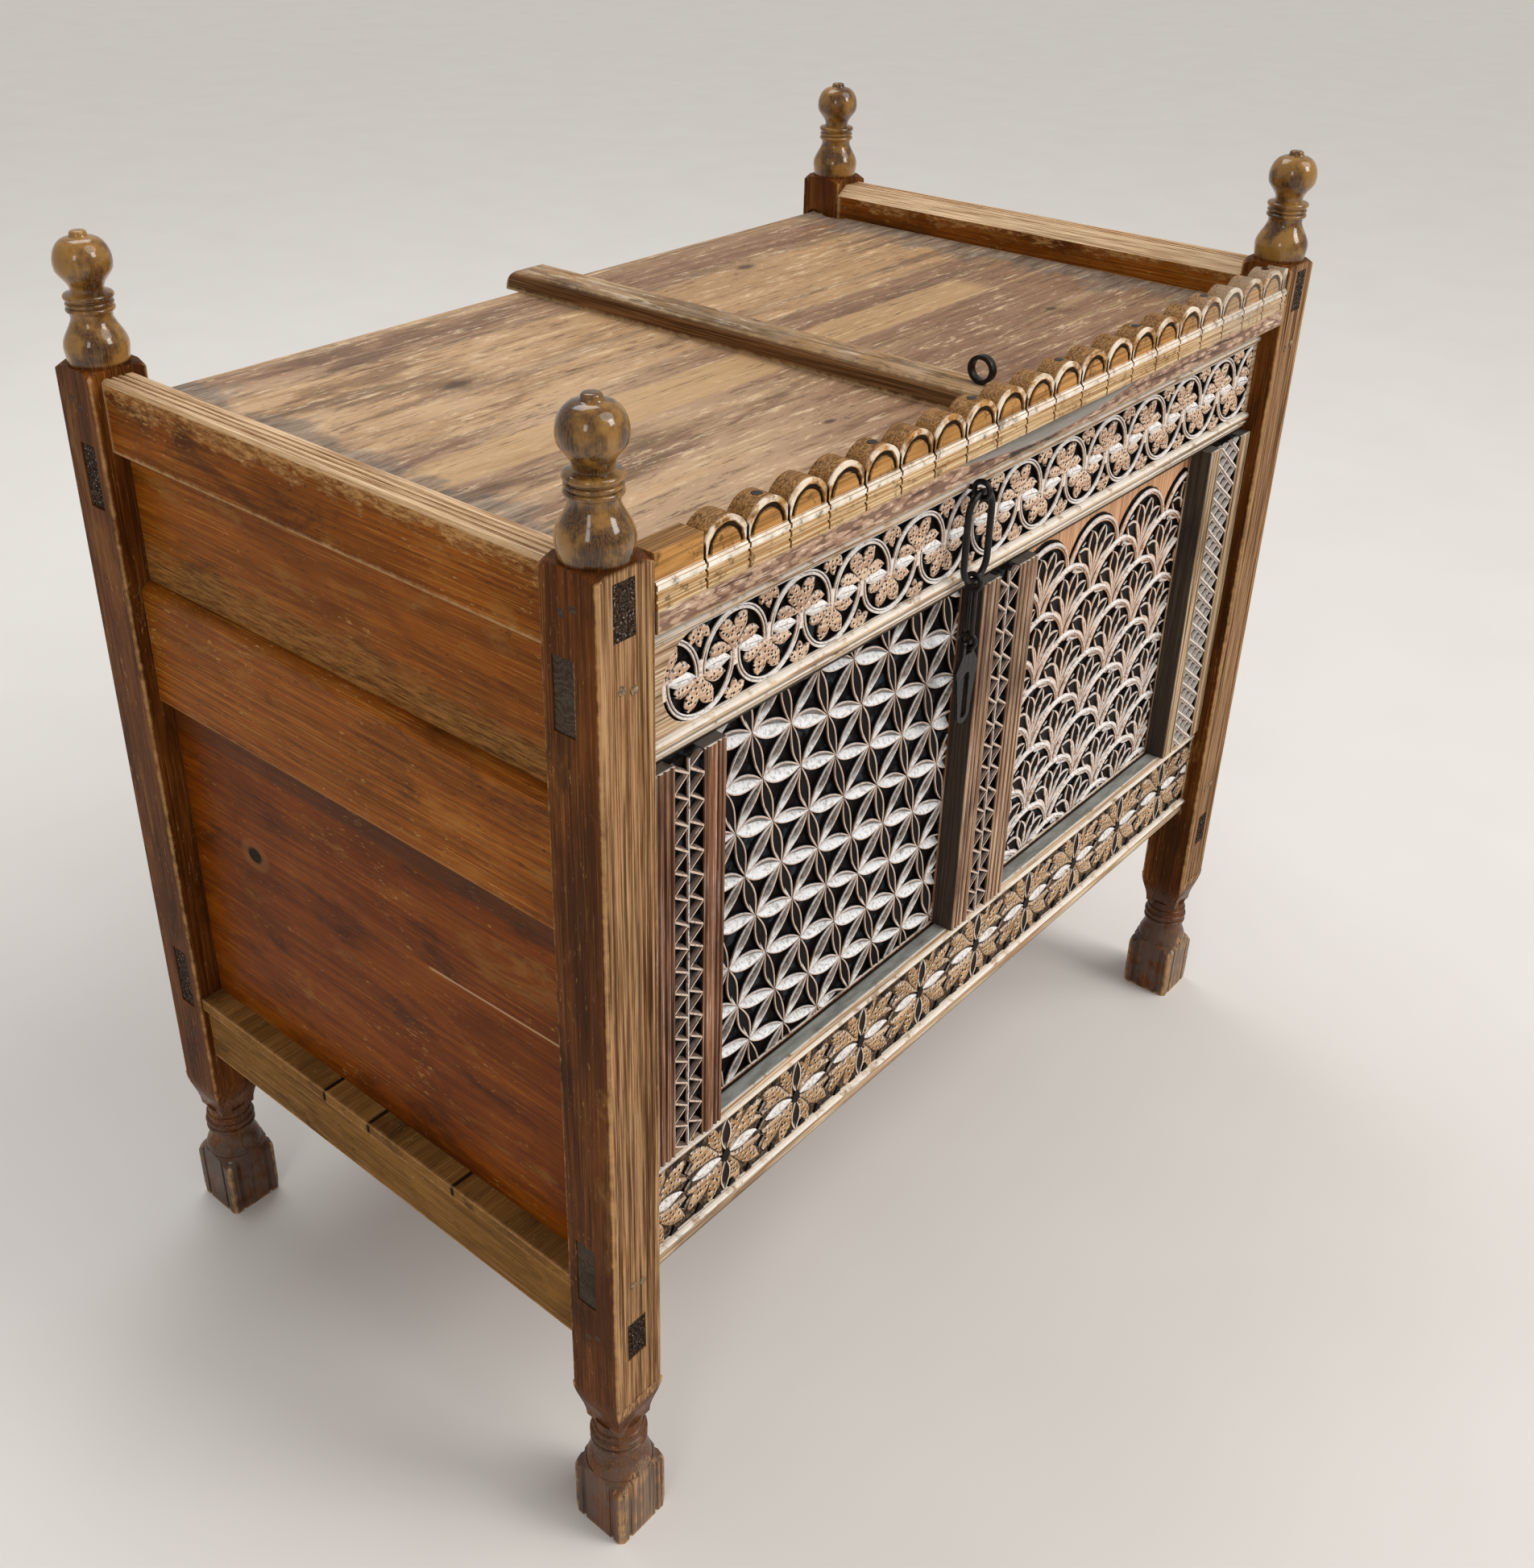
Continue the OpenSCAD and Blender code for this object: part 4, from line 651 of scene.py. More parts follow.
def worn_top(p):
    """The side top rail's marks: paler on what faces up, chipped ochre at the edge, rough dark tenon ends.
    """
    nx, _, nz = p.facing()
    chips = p.streaks((0.05, 0.035, 0.09), 6.0, 0.72, shift=(7, 0, 0))
    below = p.minus(SIDE_RAIL_TOP_Z - 3.0, p.z)
    chipped = p.step(p.times_plus(chips, 90.0, below), 64.0, 50.0)
    chipped = p.times(chipped, p.step(p.absolute(nx), 0.4, 0.8))
    pitted = p.streaks((0.4, 0.08, 0.4), 6.0, 0.75)
    p.tint(p.two_tone(pitted, 0.4, 0.6, "#83562a", "#cb9c62"), chipped, 0.75)
    p.height = p.times_plus(p.times(chipped, chips), 3.0, p.height)
    top = p.times(p.step(nz, 0.3, 0.8), p.step(p.z, SIDE_RAIL_TOP_Z - 18.0, SIDE_RAIL_TOP_Z - 11.0))
    p.tint(p.two_tone(p.fibres, 0.35, 0.62, "#8a6440", "#ecd0aa"), top, 0.85)
    tenon_ends(p)


def floor_end_marks(p):
    """The dark gaps where the floor boards meet, seen at the ends that show below the side panels."""
    for node in FLOOR_BOARDS[1:]:
        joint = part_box(node)[0][1] / MM
        p.tint("#140c06", p.band(p.y, joint - 2.0, joint + 1.6, 1.0), 0.9)


def paint_timber(node, label, axis, tones, seed, bevel, trim=None, **looks):
    """Gives a node a timber finish. With a trim, the arrises of its box less that trim are worn."""
    edges = None if trim is None else node_box(node, trim)
    paint(node, timber(label, axis, tones, seed, edges=edges, **looks), bevel)


def paint_posts():
    for i, n in enumerate(("front_left_post", "front_right_post", "rear_left_post", "rear_right_post")):
        mid = [(a + b) / 2 for a, b in zip(*node_box(n))]
        paint_timber(n, "old_varnished_post_%d" % i, "Z", POST_TONES, 11 + i, 1.0, (2.0, 2.0, 0.0),
                     rough=(0.3, 0.5), ring=9.0, sheen=0.05, pith=(mid[0] + 30, mid[1] + 24, 0),
                     edge_tone="#c99c66", edge_width=4.0, rings_show=0.45, scuffs=0.45, extra=post_marks_and_lit_front)


def paint_front():
    for label, seed, face, field in (("top_rail", 21, TOP_FACE, VINE_FIELD),
                                     ("bottom_rail", 22, BOTTOM_FACE, ROSETTE_FIELD)):
        wood = moulded_timber("moulded_" + label, "X", MOULDING_TONES, seed, face, field)
        paint("front_" + label, wood, 0.5)
    for i, (side, middle, width) in enumerate(STRIPS):
        wood = moulded_timber("moulded_stile_%d" % i, "Z", STILE_TONES[i], 23 + i, STILE_FACE,
                              strip_field(middle, width), ledge="#2b221b", quirk="#23211f")
        paint("front_%s_stile" % side, wood, 0.5)
    for i, n in enumerate(("front_left_panel", "front_right_panel")):
        wood = moulded_timber("panel_ground_%d" % i, "Z", STILE_TONES[i], 27 + i, PANEL_FACE,
                              inner_field(n, 0), arches=FAN_ROWS if i else None)
        paint(n, wood, 0)


def paint_sides():
    through, blind = (0, POST_WIDTH, 0), (0, BLIND_TENON, 0)
    worn = {"rings_show": 0.35, "scuffs": 0.75}
    for i, s in enumerate(("left", "right")):
        paint_timber(s + "_top_rail", "worn_side_top_rail_%d" % i, "Y", SIDE_TONES, 31 + i, 1.5, through,
                     edge_tone="#c19a6b", edge_width=5.0, ring=8.0, extra=worn_top, **worn)
        paint_timber(s + "_mid_rail", "side_middle_rail_%d" % i, "Y", SIDE_TONES, 33 + i, 1.5, blind,
                     edge_tone="#9c6f3e", rough=(0.3, 0.5), ring=10.0, **worn)
        paint_timber(s + "_bottom_rail", "rough_bottom_rail_%d" % i, "Y", BOTTOM_TONES, 35 + i, 2.0,
                     through, rough=(0.6, 0.8), coarse=2.0, rings_show=0.25, scuffs=0.8, extra=tenon_ends)
        paint_timber(s + "_upper_panel", "side_upper_board_%d" % i, "Y", SIDE_TONES, 37 + i, 0,
                     rough=(0.3, 0.5), ring=11.0, pith=(0, 0, 700), extra=upper_board_marks, **worn)
        paint_timber(s + "_lower_panel", "side_lower_board_%d" % i, "Y", PANEL_TONES, 39 + i, 0,
                     rough=(0.28, 0.48), ring=13.0, pith=(0, 0, 380), rings_show=0.35, scuffs=0.6,
                     extra=None if i else side_board_marks)


def paint_back_and_floor():
    for i, s in enumerate(("top", "bottom")):
        paint_timber("rear_%s_rail" % s, "rear_rail_%d" % i, "X", SIDE_TONES, 41 + i, 1.5,
                     (POST_WIDTH, 0, 0), rings_show=0.4, scuffs=0.6, extra=tenon_ends)
    for i, s in enumerate(("upper", "lower")):
        paint_timber("rear_%s_board" % s, "rear_board_%d" % i, "X", SIDE_TONES, 43 + i, 0.8,
                     ring=12.0, coarse=1.4, rings_show=0.35, scuffs=0.6)
    for i, n in enumerate(FLOOR_BOARDS):
        paint_timber(n, "floor_board_%d" % i, "X", FLOOR_TONES, 45 + i, 1.0, (0, -FLOOR_SET_IN, 0),
                     rough=(0.6, 0.8), coarse=1.8, rings_show=0.2, scuffs=0.8, extra=floor_end_marks)


def crest_wear(p):
    """The cresting: ochre arches in incised lines painted black as shade and dirt, pale rims and moulding,
    dark tops, kerfs painted black as shade and dirt, a grey end.
    """
    _, ny, nz = p.facing()
    sunk = p.plus(p.y, -LID_FRONT)
    block = p.step(p.x, SCALLOP_X - 1.0, SCALLOP_X + 1.0)
    along = p.plus(p.x, 2 * SCALLOP_PITCH - SCALLOP_X)
    along = p.minus(p.math("MODULO", along, SCALLOP_PITCH), SCALLOP_PITCH / 2)
    rise = p.minus(p.z, SCALLOP_Z)
    reach = p.plus(p.reach(along, rise), p.times_plus(p.noise(0.12, 3.0), 4.0, -2.0))
    rubbed = p.step(p.noise(0.05, 4.0, 0.65), 0.38, 0.6)
    face = p.times(p.step(ny, -0.15, -0.6), p.step(sunk, 9.0, 7.0))
    upper = p.times(face, p.times(p.step(rise, -1.5, 0.5), block))
    p.tint(p.two_tone(p.fibres, 0.4, 0.62, "#a27a4c", "#e2c79d"),
           p.times(face, p.step(rise, 0.5, -1.5)))
    pale = p.times(face, p.band(rise, -7.5, -1.0, 1.5))
    p.tint("#f6f0e4", p.times(pale, p.math("MAXIMUM", rubbed, 0.72)))
    grime = p.times(p.step(rubbed, 0.5, 0.1), p.step(p.noise(0.11, 4.0, 0.7), 0.45, 0.62))
    p.tint("#4b3018", p.times(grime, face), 0.7)
    top = p.times(p.step(nz, 0.2, 0.5), p.step(sunk, 3.5, 6.0))
    p.tint(p.two_tone(p.fibres, 0.38, 0.64, "#3f2814", "#a47a4c"), top, 0.85)
    rim = p.times(p.step(reach, SCALLOP_GROOVE + 2.2, SCALLOP_GROOVE + 3.4), p.step(sunk, 6.5, 4.0))
    p.tint("#eaddc8", p.times(rim, block, p.times(p.step(rise, 0.0, 3.0), rubbed)))
    # The incised lines round the arches, painted black: painted shade and dirt in the grooves
    line = p.band(reach, SCALLOP_GROOVE - 2.0, SCALLOP_GROOVE + 1.6, 0.8)
    p.tint("#100a06", p.times(line, upper), 0.96)
    half = SCALLOP_PITCH / 2
    # The kerfs between the scallops, painted black: painted shade and dirt
    kerf = p.times(p.step(p.absolute(along), half - 2.0, half - 1.2), p.step(sunk, 1.0, 3.2))
    kerf = p.times(kerf, p.times(block, p.step(rise, 14.0, 8.0)))
    p.tint("#100a06", kerf, 0.95)
    grey = p.times(p.step(p.x, *GREY_END_X), p.step(p.blotch, 0.3, 0.55))
    p.tint("#a79e91", grey, 0.45)


def paint_lid():
    for i, n in enumerate(("lid_front_board", "lid_rear_board")):
        # Only the rear board has the pins
        paint_timber(n, "worn_lid_board_%d" % i, "X", LID_TONES, 51 + 3 * i, 1.5, (PIN_LENGTH * i, 0, 0),
                     sheen=0.3, ring=16.0, pith=(0, -160 + 330 * i, 1010), waver=14.0, run=0.006,
                     edge_tone="#b89a72", edge_width=3.0, extra=lid_patina)
    paint_timber("lid_batten", "worn_batten", "Y", BATTEN_TONES, 55, 2.0, (0, 0, 0), edge_tone="#c9ab81",
                 edge_width=5.0, dust=0.15, extra=batten_sides)
    paint_timber("lid_cresting", "scalloped_cresting_wood", "X", CREST_TONES, 56, 0.6, rough=(0.35, 0.55),
                 extra=crest_wear)
    paint("lid_dowels", end_grain("lid_dowel_wood"), 0)


def paint_small():
    for s in ("front", "rear", "left", "right"):
        tones = ("#4c3a28", "#a08a68", "#c9b795") if s == "front" else ("#2a1a10", "#5b4028", "#82613f")
        paint(s + "_pegs", end_grain(s + "_peg_ends", tones), 0.6)
    iron = forged_iron("forged_black_iron", 70)
    for n in ("batten_nails", "cresting_nails", "hasp_staple", "hasp_upper_link", "hasp_lower_link"):
        paint(n, iron, 0)
    paint("hasp_plate", forged_iron("forged_plate_iron", 75, 0.15, 0.25), 0.4)
    paint("lid_eye", forged_iron("forged_eye_iron", 78), 0.8)


# Carving: motifs, each a closed relief
GROUND = 6.4
CREST = 0.3


class Relief:
    """A motif cut in relief: millimetres in (u, v) on the face, with depth d into the wood.

    The attribute "cut" is 0 on a crest, below 0 in a hollow and 1 at the foot of an outer wall."""

    def __init__(self):
        self.bm = bmesh.new()
        self.dots = self.bm.verts.layers.float.new("stipple")
        self.cut = self.bm.verts.layers.float.new("cut")

    def strip(self, line, widths, profile, stipple=0.0):
        """Sweeps profile(w) = [(offset, depth, cut), ...] along a line of points, closed underneath."""
        rows = []
        last = len(line) - 1
        for i, (u, v) in enumerate(line):
            a, b = line[max(i - 1, 0)], line[min(i + 1, last)]
            tu, tv = b[0] - a[0], b[1] - a[1]
            size = math.hypot(tu, tv) or 1.0
            nu, nv = -tv / size, tu / size
            row = []
            for o, d, cut in profile(widths[i]):
                vert = self.bm.verts.new(((u + nu * o) * MM, d * MM, (v + nv * o) * MM))
                vert[self.dots] = stipple
                vert[self.cut] = cut
                row.append(vert)
            rows.append(row)
        m = len(rows[0])
        faces = []
        for r0, r1 in zip(rows, rows[1:]):
            for j in range(m):
                k = (j + 1) % m
                faces.append(self.bm.faces.new((r0[j], r0[k], r1[k], r1[j])))
        faces.append(self.bm.faces.new(rows[0]))
        faces.append(self.bm.faces.new(list(reversed(rows[-1]))))
        bmesh.ops.recalc_face_normals(self.bm, faces=faces)

    def leaf(self, a, b, half, profile, stipple=0.0, n=10, peak=0.5, bow=0.0, tip=0.25, blunt=0.85):
        """A leaf from a to b, widest at peak and bowed sideways by bow. A low blunt rounds its ends."""
        line, widths = [], []
        du, dv = b[0] - a[0], b[1] - a[1]
        for i in range(n + 1):
            t = i / n
            side = bow * 4 * t * (1 - t)
            line.append((a[0] + du * t - dv * side, a[1] + dv * t + du * side))
            s = t ** (math.log(0.5) / math.log(peak))
            widths.append(max(tip, half * math.sin(math.pi * s) ** blunt))
        self.strip(line, widths, profile, stipple)

    def lean(self, top, slope):
        """Leans the motif back below its top line, so that the row below lies over its foot."""
        for vert in self.bm.verts:
            vert.co.y += max(0.0, top * MM - vert.co.z) * slope

    def object(self, name):
        mesh = bpy.data.meshes.new(name)
        self.bm.to_mesh(mesh)
        self.bm.free()
        return bpy.data.objects.new(name, mesh)


def mirrored(*half):
    """A whole profile from its half, given as (offset, depth, cut) from the middle outwards."""
    return [(-o, d, cut) for o, d, cut in reversed(half) if o] + list(half)


def scooped_profile(rim, deep, full):
    """A leaf whose narrow crest stands steep round a deep hollow."""
    def profile(w):
        r = min(rim, w * 0.45)
        floor = CREST + deep * min(1.0, w / full)
        return mirrored((0, floor, -1), ((w - r) * 0.93, CREST + (floor - CREST) * 0.4, -1),
                        (w - r, CREST, 0), (w, CREST, 0.05), (w + 0.5, GROUND, 1))
    return profile


def lit_profile(rim, deep, full=6.0, middle=0.12, near=-0.25, far=-0.45):
    """A petal hollowed off-centre: a broad slope that faces up and a narrower shaded one above it."""
    def profile(w):
        r = min(rim, w * 0.4)
        floor = CREST + deep * min(1.0, w / full)
        return [(-w - 0.5, GROUND, 1), (-w, CREST, 0.05), (-w + r, CREST, 0),
                (-w + r + 0.3, CREST + 0.4, near), (w * middle, floor, near - 0.2),
                (w - r - 0.2, CREST + 0.8, far), (w - r, CREST, 0), (w, CREST, 0.05),
                (w + 0.5, GROUND, 1)]
    return profile


def arch_profile(w):
    """An arch: a broad rounded outer band, a groove and a thin inner one."""
    return [(-w - 0.6, GROUND, 1), (-w, CREST + 2.2, 0.05), (-w * 0.72, CREST + 0.8, 0),
            (-w * 0.35, CREST, 0), (w * 0.1, CREST + 0.6, 0.02), (w * 0.3, CREST + 2.4, -1),
            (w * 0.56, CREST + 0.9, 0.1), (w, CREST + 1.2, 0.1), (w + 0.6, GROUND, 1)]


def ridge_profile(foot, top=0.3):
    """A sharp ridge left between two pyramid-shaped pits."""
    return lambda w: mirrored((w, top, 0), (foot, GROUND, -0.75))


def domed_profile(drop):
    """A leaf with a softly rounded face."""
    return lambda w: mirrored((0, CREST, 0), (w * 0.6, CREST + drop * 0.35, 0), (w, CREST + drop, 0.05),
                              (w + 0.7, GROUND, 1))


def folded_profile(drop):
    """A smooth leaf that falls away to both sides of a fine midrib groove."""
    return lambda w: mirrored((0, CREST + drop * 0.8, -0.75), (w * 0.22, CREST, -0.25),
                              (w, CREST + drop, -0.25), (w + 0.7, GROUND, 1))


def stem_profile(w):
    """A stem with a groove along its middle."""
    return mirrored((0, CREST + 1.6, -0.9), (w * 0.6, CREST, 0), (w, CREST + 0.3, 0.05),
                    (w + 0.7, GROUND, 1))


def root_profile(w):
    """The low bar that a palmette's leaves spring from."""
    return mirrored((0, 0.9, 0.1), (w, 1.6, 0.1), (w + 1, GROUND, 1))


def flat_profile(top, cut, foot=1.0):
    """A flat-topped bar or plate whose sides spread by foot. A high one cut at 1 is painted black: painted
    shade standing in for a hole.
    """
    return lambda w: mirrored((w, top, cut), (w + foot, GROUND, 1))


def arc_points(cu, cv, r, start, end, n):
    return [(cu + r * math.cos(math.radians(start + (end - start) * i / n)),
             cv + r * math.sin(math.radians(start + (end - start) * i / n))) for i in range(n + 1)]


def petal_motif(way):
    """One petal of the lattice, from flower centre to flower centre: 0 lies flat, 1 stands, 2 leans."""
    m = Relief()
    half, peak, profile = ((7.9, 0.47, lit_profile(1.1, 5.2)),
                           (6.2, 0.5, scooped_profile(1.2, 4.6, 5.4)),
                           (6.0, 0.52, lit_profile(1.1, 4.4, 5.2, 0.4, -0.42, -1.0)))[way]
    m.leaf((1.0, 0), (LATTICE - 1.0, 0), half, profile, n=12, peak=peak, blunt=0.8)
    return m.object("petal_motif")


def fan_motif():
    """A palmette under an arch: six deeply hollowed leaves that spring from one root."""
    m = Relief()
    m.strip(arc_points(0, 0, FAN_R - 3.2, 6, 174, 24), [3.0] * 25, arch_profile)
    plate = [(0, v) for v in (-30, -22, -10, 0, 12, 24, 31)]
    m.strip(plate, [4, 12, 24, 32, 33, 26, 12], flat_profile(3.6, -0.8))
    m.strip([(0, -30), (0, -20), (0, -8), (0, 4)], [3.0, 3.4, 2.4, 1.0], root_profile)
    for side in (-1, 1):
        for angle, bow, half, peak, reach in ((72, 0.03, 9.0, 0.74, 41.5), (31, 0.15, 9.6, 0.72, 42.0),
                                              (4, 0.22, 5.0, 0.74, 43.0)):
            a = math.radians(angle)
            m.leaf((0.0, -25.0), (side * reach * math.cos(a), reach * math.sin(a)), half,
                   scooped_profile(2.2, 3.1, 3.2), n=18, peak=peak, bow=side * bow, tip=1.0, blunt=0.66)
    m.lean(FAN_R, 0.045)
    return m.object("fan_motif")


def vine_motif():
    """Half a wave of the vine: a looping stem with a punched four-lobed leaf and a small spray."""
    m = Relief()
    half_step = VINE_STEP / 2
    m.strip(arc_points(0, 0, half_step - 3.0, 176, 364, 24), [2.2] * 25, stem_profile)
    m.strip([(0, 10), (0.4, 4), (0, -2), (0, -14)], [3.0, 2.4, 2.6, 1.6], domed_profile(0.8))
    for u, v, half, bow in ((-28.5, -10.5, 6.2, 0.06), (28.5, -10.5, 6.2, -0.06),
                            (-14.0, -31.0, 7.6, 0.05), (14.0, -31.0, 7.6, -0.05)):
        m.leaf((u * 0.05, -4.0), (u, v), half, domed_profile(1.8), 1.0, peak=0.68, bow=bow, tip=1.2,
               blunt=0.6)
    m.strip([(0, -4), (0, -10), (0, -19), (0, -24)], [3.0, 6.0, 4.0, 0.6], domed_profile(1.4), 1.0)
    for u, v in ((-11, 12.0), (0, 17.5), (11, 12.0)):
        m.leaf((half_step + u * 0.1, -41.5), (half_step + u, -40.0 + v), 4.2, domed_profile(1.2), 1.0,
               n=7, peak=0.62, tip=0.6, blunt=0.7)
    return m.object("vine_motif")


def midrib_leaf_motif():
    """The smooth pale leaf that lies between two stems of the vine."""
    m = Relief()
    m.leaf((-15.5, 1.5), (15.5, -1.5), 6.2, folded_profile(1.5))
    return m.object("midrib_leaf_motif")


def rosette_motif():
    """A flower of the bottom rail: hollow leaves up and down, pale ones across, stippled ones between."""
    m = Relief()
    half = ROSETTE_STEP / 2

    def notch(v):
        """How far the black diamonds between two flowers reach in at height v."""
        return max(0.0, 7.5 - abs(v), 7.5 - abs(abs(v) - 21.0))

    rows = [-43.5 + 87.0 * i / 58 for i in range(59)]
    m.strip([(0, v) for v in rows], [half - 0.4 - notch(v) for v in rows], flat_profile(2.3, -0.62, 0.3),
            1.0)
    # A black flat at the centre: painted shade standing in for the flower's hole
    m.strip([(0, v) for v in (-8.0, -3.5, 0, 3.5, 8.0)], [0.8, 4.8, 5.6, 4.8, 0.8],
            flat_profile(0.25, 1, 0))
    for s in (-1, 1):
        m.leaf((0, s * 6), (0, s * 43.5), 6.8, scooped_profile(1.2, 1.8, 5.5))
        m.leaf((s * 6.5, 0), (s * 44.5, 0), 6.4, folded_profile(1.1))
        for t in (-1, 1):
            for tip, wide, bow, peak in (((50.5, 11.0), 5.4, 0.14, 0.6), ((48.5, 33.5), 8.6, 0.0, 0.66),
                                         ((21.0, 43.0), 8.4, 0.06, 0.64)):
                m.leaf((s * 6.0, t * 4.5), (s * tip[0], t * tip[1]), wide, domed_profile(1.9), 1.0,
                       peak=peak, bow=s * t * bow, tip=1.6, blunt=0.7)
            for u in (10.5, 35.0):
                # Small black flats at the flower's top and bottom edge: painted shade standing in for
                # notches
                m.strip([(s * u, t * v) for v in (43.6, 39.5, 35.0)], [5.4, 3.0, 0.3],
                        flat_profile(0.2, 1, 0))
    return m.object("rosette_motif")


def cross_motif(width, rise):
    """One crossing of the right stile's net: a bold falling ridge over a low rising one."""
    m = Relief()
    h = width / 2 + 1.0
    m.strip([(-h, rise / 2), (0, 0), (h, -rise / 2)], [0.8] * 3, ridge_profile(5.0))
    m.strip([(-h, -rise / 2), (0, 0), (h, rise / 2)], [0.5] * 3, ridge_profile(3.4, 1.9))
    return m.object("cross_motif")


def teeth_motif(width, pitch):
    """One tooth of each of the strip's two columns of chip carving."""
    m = Relief()
    h = width / 2 + 0.6
    for x0, x1, drop in ((-h, -0.8, 0.0), (0.8, h, -pitch * 0.34)):
        m.strip([(x0, pitch / 2 + drop), (x1, drop)], [0.9] * 2, ridge_profile(2.3))
        m.strip([(x1, drop), (x0, -pitch / 2 + drop)], [0.6] * 2, ridge_profile(1.8, 0.7))
    return m.object("teeth_motif")


def line_motif(pitch):
    """The fine upright line behind the crossings."""
    m = Relief()
    m.strip([(0, -pitch / 2 - 0.5), (0, pitch / 2 + 0.5)], [0.5, 0.5], flat_profile(0.8, -0.3))
    return m.object("line_motif")


# Carving: motifs set out over a field
def setting_out_tree():
    """A node tree that sets a motif out in rows by index, realizes it and adds the carver's waver."""
    t = bpy.data.node_groups.new("Set out a carved motif", "GeometryNodeTree")
    t.is_modifier = True
    face = t.interface
    face.new_socket("Geometry", in_out="INPUT", socket_type="NodeSocketGeometry")
    for label, kind in (("Motif", "Object"), ("Count", "Int"), ("Per Row", "Int"), ("Start", "Vector"),
                        ("Step", "Vector"), ("Row Step", "Vector"), ("Odd Row Shift", "Vector"),
                        ("Turn", "Float"), ("Waver", "Float"), ("Waver Length", "Float"),
                        ("Width Play", "Float"), ("Seed", "Int"), ("Finish", "Material")):
        face.new_socket(label, in_out="INPUT", socket_type="NodeSocket" + kind)
    face.new_socket("Geometry", in_out="OUTPUT", socket_type="NodeSocketGeometry")

    def node(kind, inputs=None, **settings):
        return add_node(t, kind, inputs, **settings)

    def maths(op, a, b):
        return node("ShaderNodeMath", {0: a, 1: b}, operation=op)[0]

    def vector(op, a, b=None, scale=None):
        return node("ShaderNodeVectorMath", {0: a, 1: b, 3: scale}, operation=op)[0]

    def chance(low, high, seed):
        return node("FunctionNodeRandomValue", {2: low, 3: high, "Seed": seed}, data_type="FLOAT")[1]

    given = node("NodeGroupInput")
    index = node("GeometryNodeInputIndex")[0]
    column = maths("MODULO", index, given["Per Row"])
    row = maths("FLOOR", maths("DIVIDE", index, given["Per Row"]), 0.0)
    odd = maths("MODULO", row, 2.0)
    place = vector("ADD", given["Start"], vector("SCALE", given["Step"], scale=column))
    place = vector("ADD", place, vector("SCALE", given["Row Step"], scale=row))
    place = vector("ADD", place, vector("SCALE", given["Odd Row Shift"], scale=odd))
    points = node("GeometryNodePoints", {"Count": given["Count"], "Position": place})[0]
    motif = node("GeometryNodeObjectInfo", {"Object": given["Motif"]})["Geometry"]
    turn = maths("ADD", given["Turn"], chance(-0.03, 0.03, given["Seed"]))
    play = chance(maths("SUBTRACT", 1.0, given["Width Play"]), maths("ADD", 1.0, given["Width Play"]),
                  maths("ADD", given["Seed"], 5.0))
    turned = node("ShaderNodeCombineXYZ", {"Y": turn})[0]
    sized = node("ShaderNodeCombineXYZ", {"X": 1.0, "Y": 1.0, "Z": play})[0]
    laid = node("GeometryNodeInstanceOnPoints",
                {"Points": points, "Instance": motif, "Rotation": turned, "Scale": sized})[0]
    real = node("GeometryNodeRealizeInstances", {0: laid})[0]
    where = vector("SCALE", node("GeometryNodeInputPosition")[0],
                   scale=maths("DIVIDE", 1.0, given["Waver Length"]))
    noise = node("ShaderNodeTexNoise", {"Vector": where, "Scale": 1.0, "Detail": 1.0})["Color"]
    drift = vector("MULTIPLY", vector("SUBTRACT", noise, (0.5, 0.5, 0.5)), (1.0, 0.12, 1.0))
    drift = vector("SCALE", drift, scale=given["Waver"])
    shaken = node("GeometryNodeSetPosition", {"Geometry": real, "Offset": drift})[0]
    carved = node("GeometryNodeSetMaterial", {"Geometry": shaken, "Material": given["Finish"]})[0]
    node("NodeGroupOutput", {0: carved})
    return t


TREE = setting_out_tree()
SOCKET = {s.name: s.identifier for s in TREE.interface.items_tree if s.in_out == "INPUT"}


def set_out(motif, mat, count, per_row, start, step, row_step=(0, 0, 0), odd=(0, 0, 0), *, seed,
            waver, waver_length=70.0, turn=0.0, play=0.0):
    """Runs the tree for one motif and returns the realized mesh. Places are in millimetres (x, y, z)."""
    carrier = add_object("setting_out", bpy.data.meshes.new("setting_out"))
    scene = bpy.context.scene
    scene.collection.objects.link(motif)
    mod = carrier.modifiers.new("set_out", "NODES")
    mod.node_group = TREE
    values = {"Motif": motif, "Count": count, "Per Row": per_row, "Turn": turn, "Waver": waver * MM,
              "Waver Length": waver_length * MM, "Width Play": play, "Seed": seed, "Finish": mat}
    for label, v in (("Start", start), ("Step", step), ("Row Step", row_step), ("Odd Row Shift", odd)):
        values[label] = [c * MM for c in v]
    for label, v in values.items():
        mod[SOCKET[label]] = v
    carrier.update_tag()
    depsgraph = bpy.context.evaluated_depsgraph_get()
    depsgraph.update()
    mesh = bpy.data.meshes.new_from_object(carrier.evaluated_get(depsgraph), depsgraph=depsgraph)
    bpy.data.objects.remove(carrier)
    scene.collection.objects.unlink(motif)
    return mesh


